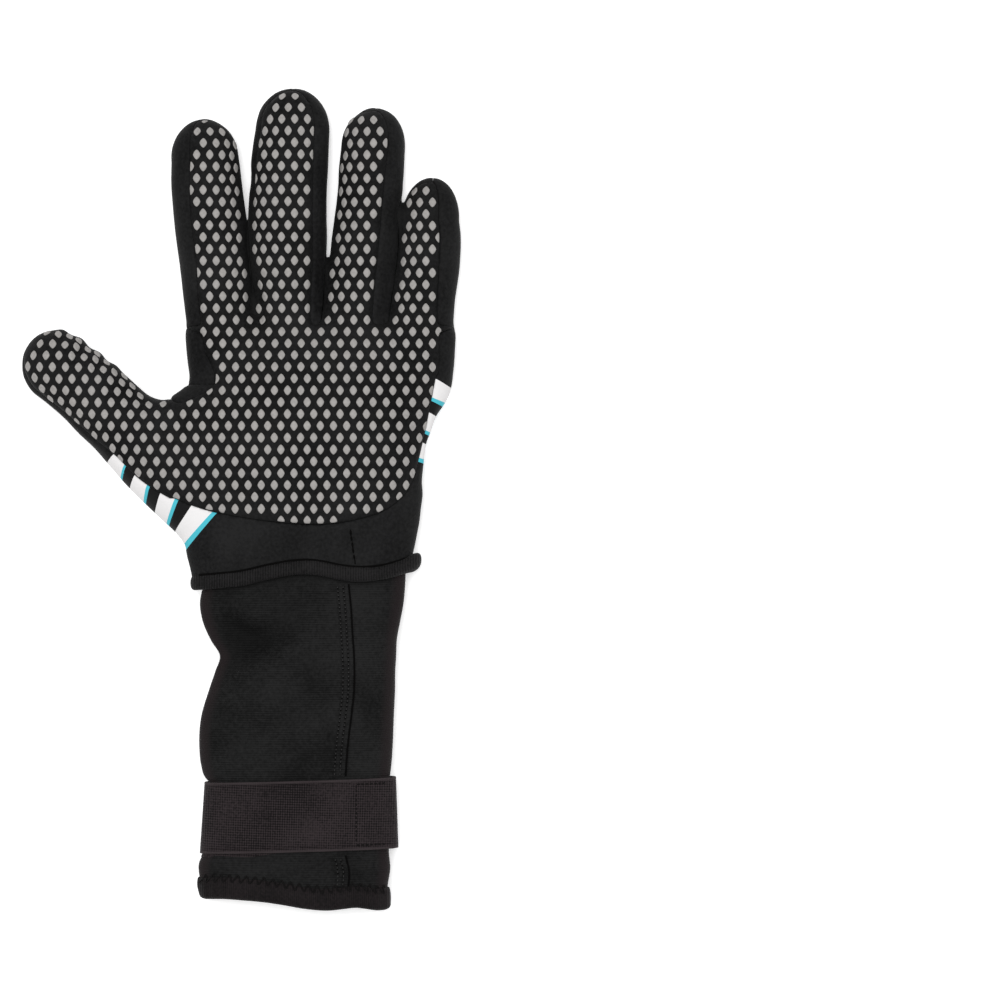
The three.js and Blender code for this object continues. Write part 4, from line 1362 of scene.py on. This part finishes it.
def strap_section(across):
    """The oval that the strap lies round, looser than the cuff at both sides."""
    below = STRAP_TOP + STRAP_WIDTH * np.clip(across, 0, 1)
    h, middle, floor = cuff_section(below / CUFF_LENGTH)[2:]
    left = along_table(STRAP_SIDES, "across", "left", across) * CUFF_HALF_WIDTH
    right = along_table(STRAP_SIDES, "across", "right", across) * CUFF_HALF_WIDTH
    return CUFF_AXIS_X + (left + right) / 2, (right - left) / 2, h, middle, floor


def strap_skin(across, angle, grow):
    """across is the share of the strap's width from its upper edge."""
    below = STRAP_TOP + STRAP_WIDTH * across
    section = strap_section(across)
    x, z = oval(section, angle, grow, CUFF_SQUARENESS)
    y = PALM_BOTTOM - below + (x - CUFF_AXIS_X) * STRAP_TILT
    return np.stack([x, y, np.maximum(section[-1] - grow, z)], -1)


def strap_piece():
    columns = 320
    angle = around(columns)
    upper = smoothstep(0.2, 0.6, np.sin(angle))
    profile = [(SLIP_GAP, 0.01), (SLIP_GAP + STRAP_THICKNESS * 0.7, 0.0)]
    for t in (0.004, 0.015, 0.03, 0.045, 0.06, 0.075, 0.1, 0.2, 0.35, 0.5):
        bead = 0.12 * hump(t - 0.022, 0.015) - 0.4 * hump(t - 0.06, 0.014)
        profile.append((SLIP_GAP + STRAP_THICKNESS * (0.93 + bead * upper), t))
    profile += [(grow, 1 - t) for grow, t in profile[:1:-1]][1:]
    profile += [(SLIP_GAP + STRAP_THICKNESS * 0.7, 1.0), (SLIP_GAP, 0.99)]
    profile += [(SLIP_GAP, t) for t in (0.8, 0.6, 0.4, 0.2)]
    grid = [strap_skin(across, angle, grow) for grow, across in profile]
    edge = np.array([min(across, 1 - across) for _, across in profile])
    selvedge_and_rim_light = np.repeat(hump(edge - 0.015, 0.02), columns)
    ring_piece("strap", grid, webbing, "elastic_webbing", {"selvedge_and_rim_light": selvedge_and_rim_light})


strap_piece()


def strap_stitches():
    """Three sides of the box of stitches that holds the strap's end."""
    grow = SLIP_GAP + STRAP_THICKNESS
    left, right, inset = 15.2, 28.5, 0.075
    paths = []
    for ends, reach in (((left, left), (inset, 1 - inset)), ((left, right), (inset, inset)),
                        ((left, right), (1 - inset, 1 - inset))):
        x, across = np.linspace(*ends, 60), np.linspace(*reach, 60)
        centre, w = strap_section(across)[:2]
        angle = angle_at(np.clip((x - centre) / (w + grow), -0.9999, 0.9999))
        paths.append(upper_normals(lambda u, v: strap_skin(u, v, grow), across, angle))
    looks = (hem_thread, "elastic_webbing")
    stitches("strap_stitches", paths, *looks, pitch=1.9, length=1.35, radius=0.34, lift=-0.12)


strap_stitches()


def strap_underlayer():
    """The strap's second layer, which peeks out below its lower edge at the thumb's side."""
    columns = 120
    angle = np.linspace(math.radians(92), math.radians(176), columns)
    peek = 0.055 * smoothstep(math.radians(92), math.radians(118), angle)
    loose = 0.9 * smoothstep(math.radians(142), math.radians(165), angle)
    grid = [strap_skin(0.9, angle, 0.05), strap_skin(0.9, angle, 0.4)]
    for share, grow in ((0.5, 0.4), (0.9, 0.4 + loose), (1.0, 0.3 + loose)):
        grid.append(strap_skin(0.9 + (0.1 + peek) * share, angle, grow))
    grid.append(strap_skin(1.0 + peek, angle, 0.1 + loose * 0.5))
    grid.append(strap_skin(1.0 + peek - 0.01, angle, 0.05))
    grid = np.array(grid)
    rows = len(grid)
    points = grid.reshape(-1, 3)
    r, c = np.meshgrid(np.arange(rows), np.arange(columns - 1), indexing="ij")
    a, b = r * columns + c, r * columns + c + 1
    down = ((r + 1) % rows) * columns
    quads = np.stack([a, b, down + c + 1, down + c], -1).reshape(-1, 4)
    first = np.arange(rows) * columns
    last = first + columns - 1
    caps = [[ring[0], ring[i], ring[i + 1], ring[i + 2]] for ring in (first, last[::-1]) for i in (1, 3)]
    triangles = np.concatenate([to_triangles(quads), to_triangles(np.array(caps))])
    caps = [[ring[0], ring[5], ring[6]] for ring in (first, last[::-1])]
    triangles = np.concatenate([triangles, caps])
    make_piece("strap_underlayer", points, outward(points, triangles), webbing, None, "elastic_webbing")


strap_underlayer()


def hem_zigzag():
    """The zigzag of thread over the binding's upper edge."""
    pitch, reach = 3.9, 1.5
    dense = np.linspace(math.radians(19), math.radians(161), 4000)
    section = cuff_section(np.array(1 - BINDING_HEIGHT / CUFF_LENGTH))
    ring = np.stack(oval(section, dense, SEAM_GAP + BINDING_WALL, CUFF_SQUARENESS), -1)
    way = np.concatenate([[0], np.cumsum(np.linalg.norm(np.diff(ring, axis=0), axis=1))])
    samples = np.arange(0, way[-1], pitch / 12)
    angle = np.interp(samples, way, dense)
    phase = samples / pitch % 1
    swing = np.abs(2 * phase - 1) * 2 - 1
    up = BINDING_HEIGHT - 0.2 + reach * np.clip(1.25 * swing, -1, 1)
    over = smoothstep(BINDING_HEIGHT + 0.4, BINDING_HEIGHT - 1.6, up)
    grow = -0.05 + over * (SEAM_GAP + BINDING_WALL)
    x, z = oval(cuff_section(1 - up / CUFF_LENGTH), angle, grow + 0.2, CUFF_SQUARENESS)
    y = PALM_BOTTOM - CUFF_LENGTH - edge_drop(x) + up
    tube("hem_zigzag", np.stack([x, y, np.maximum(z, 1.0)], -1), 0.34, hem_thread, "binding_tape")


hem_zigzag()


def heel_seam():
    """The short upright seam on the heel of the hand."""
    y = np.linspace(-43.0, -57.5, 50)
    start = np.stack([heel_x(y), y, np.full(50, PALM_HEIGHT)], -1)
    points, normals = settle(hand_field, start, 6)
    # A dark tube of painted shade in the seam's groove.
    tube("heel_line", points - normals * 0.75, LINE_RADIUS, dark_thread_and_painted_shade, "neoprene")
    looks = (dark_thread_and_painted_shade, "neoprene")
    stitches("heel_stitches", [(points, normals)], *looks, pitch=2.6, length=1.9, radius=0.5, lift=-0.45)


heel_seam()


def wrist_crease_shade():
    """A dark tube of painted shade in the crease where the hand meets the rolled hem."""
    x = np.linspace(-0.93 * PALM_HALF_WIDTH, 0.66 * PALM_HALF_WIDTH, 160)
    start = np.stack([x, hem_y(x) + ROLL_HEIGHT * 0.52, np.full(160, PALM_HEIGHT)], -1)
    tube("wrist_crease_shade", dropped(start) + (0, 0, 0.1), LINE_RADIUS, dark_thread_and_painted_shade, "neoprene")


wrist_crease_shade()


def strap_tab():
    """The strap's end on the back: a plate with two rounded corners."""
    low, high = (np.array(corner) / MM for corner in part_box("strap_tab"))
    large, small = 5.0, 1.0
    corners = (
        (high[0], high[1], 0, large), (low[0], high[1], 90, small),
        (low[0], low[1], 180, small), (high[0], low[1], 270, large),
    )
    outline = []
    for x, y, start, r in corners:
        x += -r if x == high[0] else r
        y += -r if y == high[1] else r
        for t in np.radians(np.linspace(start, start + 90, 7)):
            outline.append((x + r * math.cos(t), y + r * math.sin(t)))
    outline = np.array(outline)
    centre = outline.mean(0)
    top, bottom = high[2], low[2]
    upper = ((0.01, top), (0.985, top), (1.0, top - 0.3))
    lower = ((1.0, bottom + 0.3), (0.985, bottom), (0.01, bottom))
    grid = []
    for share, z in upper + lower:
        ring = centre + (outline - centre) * share
        grid.append(np.concatenate([ring, np.full((len(ring), 1), z)], axis=1))
    ring_piece("strap_tab", grid, hook_plastic, "hook_tab")


strap_tab()


# Studio

CENTRE = tuple(photo_mm(PHOTO_PIXELS / 2, PHOTO_PIXELS / 2) * MM)
CAMERA_HEIGHT = 2.0
OUTLINE_HEIGHT = 0.011
SENSOR_MM = 36
FLOOR_HALF = 3

camera_data = bpy.data.cameras.new("camera")
camera_data.sensor_width = SENSOR_MM
camera_data.lens = SENSOR_MM * (CAMERA_HEIGHT - OUTLINE_HEIGHT) / (PHOTO_PIXELS * MM_PER_PIXEL * MM)
camera_data.clip_end = 20
camera = placed("camera", camera_data)
camera.location = (*CENTRE, CAMERA_HEIGHT)
bpy.context.scene.camera = camera

floor_material, _, floor_shader = node_material("floor")
floor_looks = {
    "Base Color": (0.95, 0.95, 0.95, 1),
    "Roughness": 0.9,
    "Specular IOR Level": 0.1,
    "Emission Color": (1, 1, 1, 1),
    "Emission Strength": 0.3,
}
for socket, value in floor_looks.items():
    floor_shader.inputs[socket].default_value = value
floor_mesh = bpy.data.meshes.new("floor")
floor_corners = [(x * FLOOR_HALF, y * FLOOR_HALF, 0) for x, y in ((-1, -1), (1, -1), (1, 1), (-1, 1))]
floor_mesh.from_pydata(floor_corners, [], [(0, 1, 2, 3)])
floor_mesh.materials.append(floor_material)
floor = placed("floor", floor_mesh)

world = bpy.data.worlds.new("studio")
world.use_nodes = True
background = world.node_tree.nodes["Background"]
background.inputs["Color"].default_value = (1, 1, 1, 1)
background.inputs["Strength"].default_value = 0.6
bpy.context.scene.world = world


def soft_light(name, place, target, size, watts):
    data = bpy.data.lights.new(name, "AREA")
    data.shape = "SQUARE"
    data.size = size
    data.energy = watts
    light = placed(name, data)
    light.location = place
    direction = np.array(target) - np.array(place)
    light.rotation_euler = mathutils.Vector(direction).to_track_quat("-Z", "Y").to_euler()


soft_light("key", (CENTRE[0] - 0.16, CENTRE[1] + 0.2, 1.95), (*CENTRE, 0), 1.0, 33)
bpy.context.scene.view_settings.view_transform = "Standard"
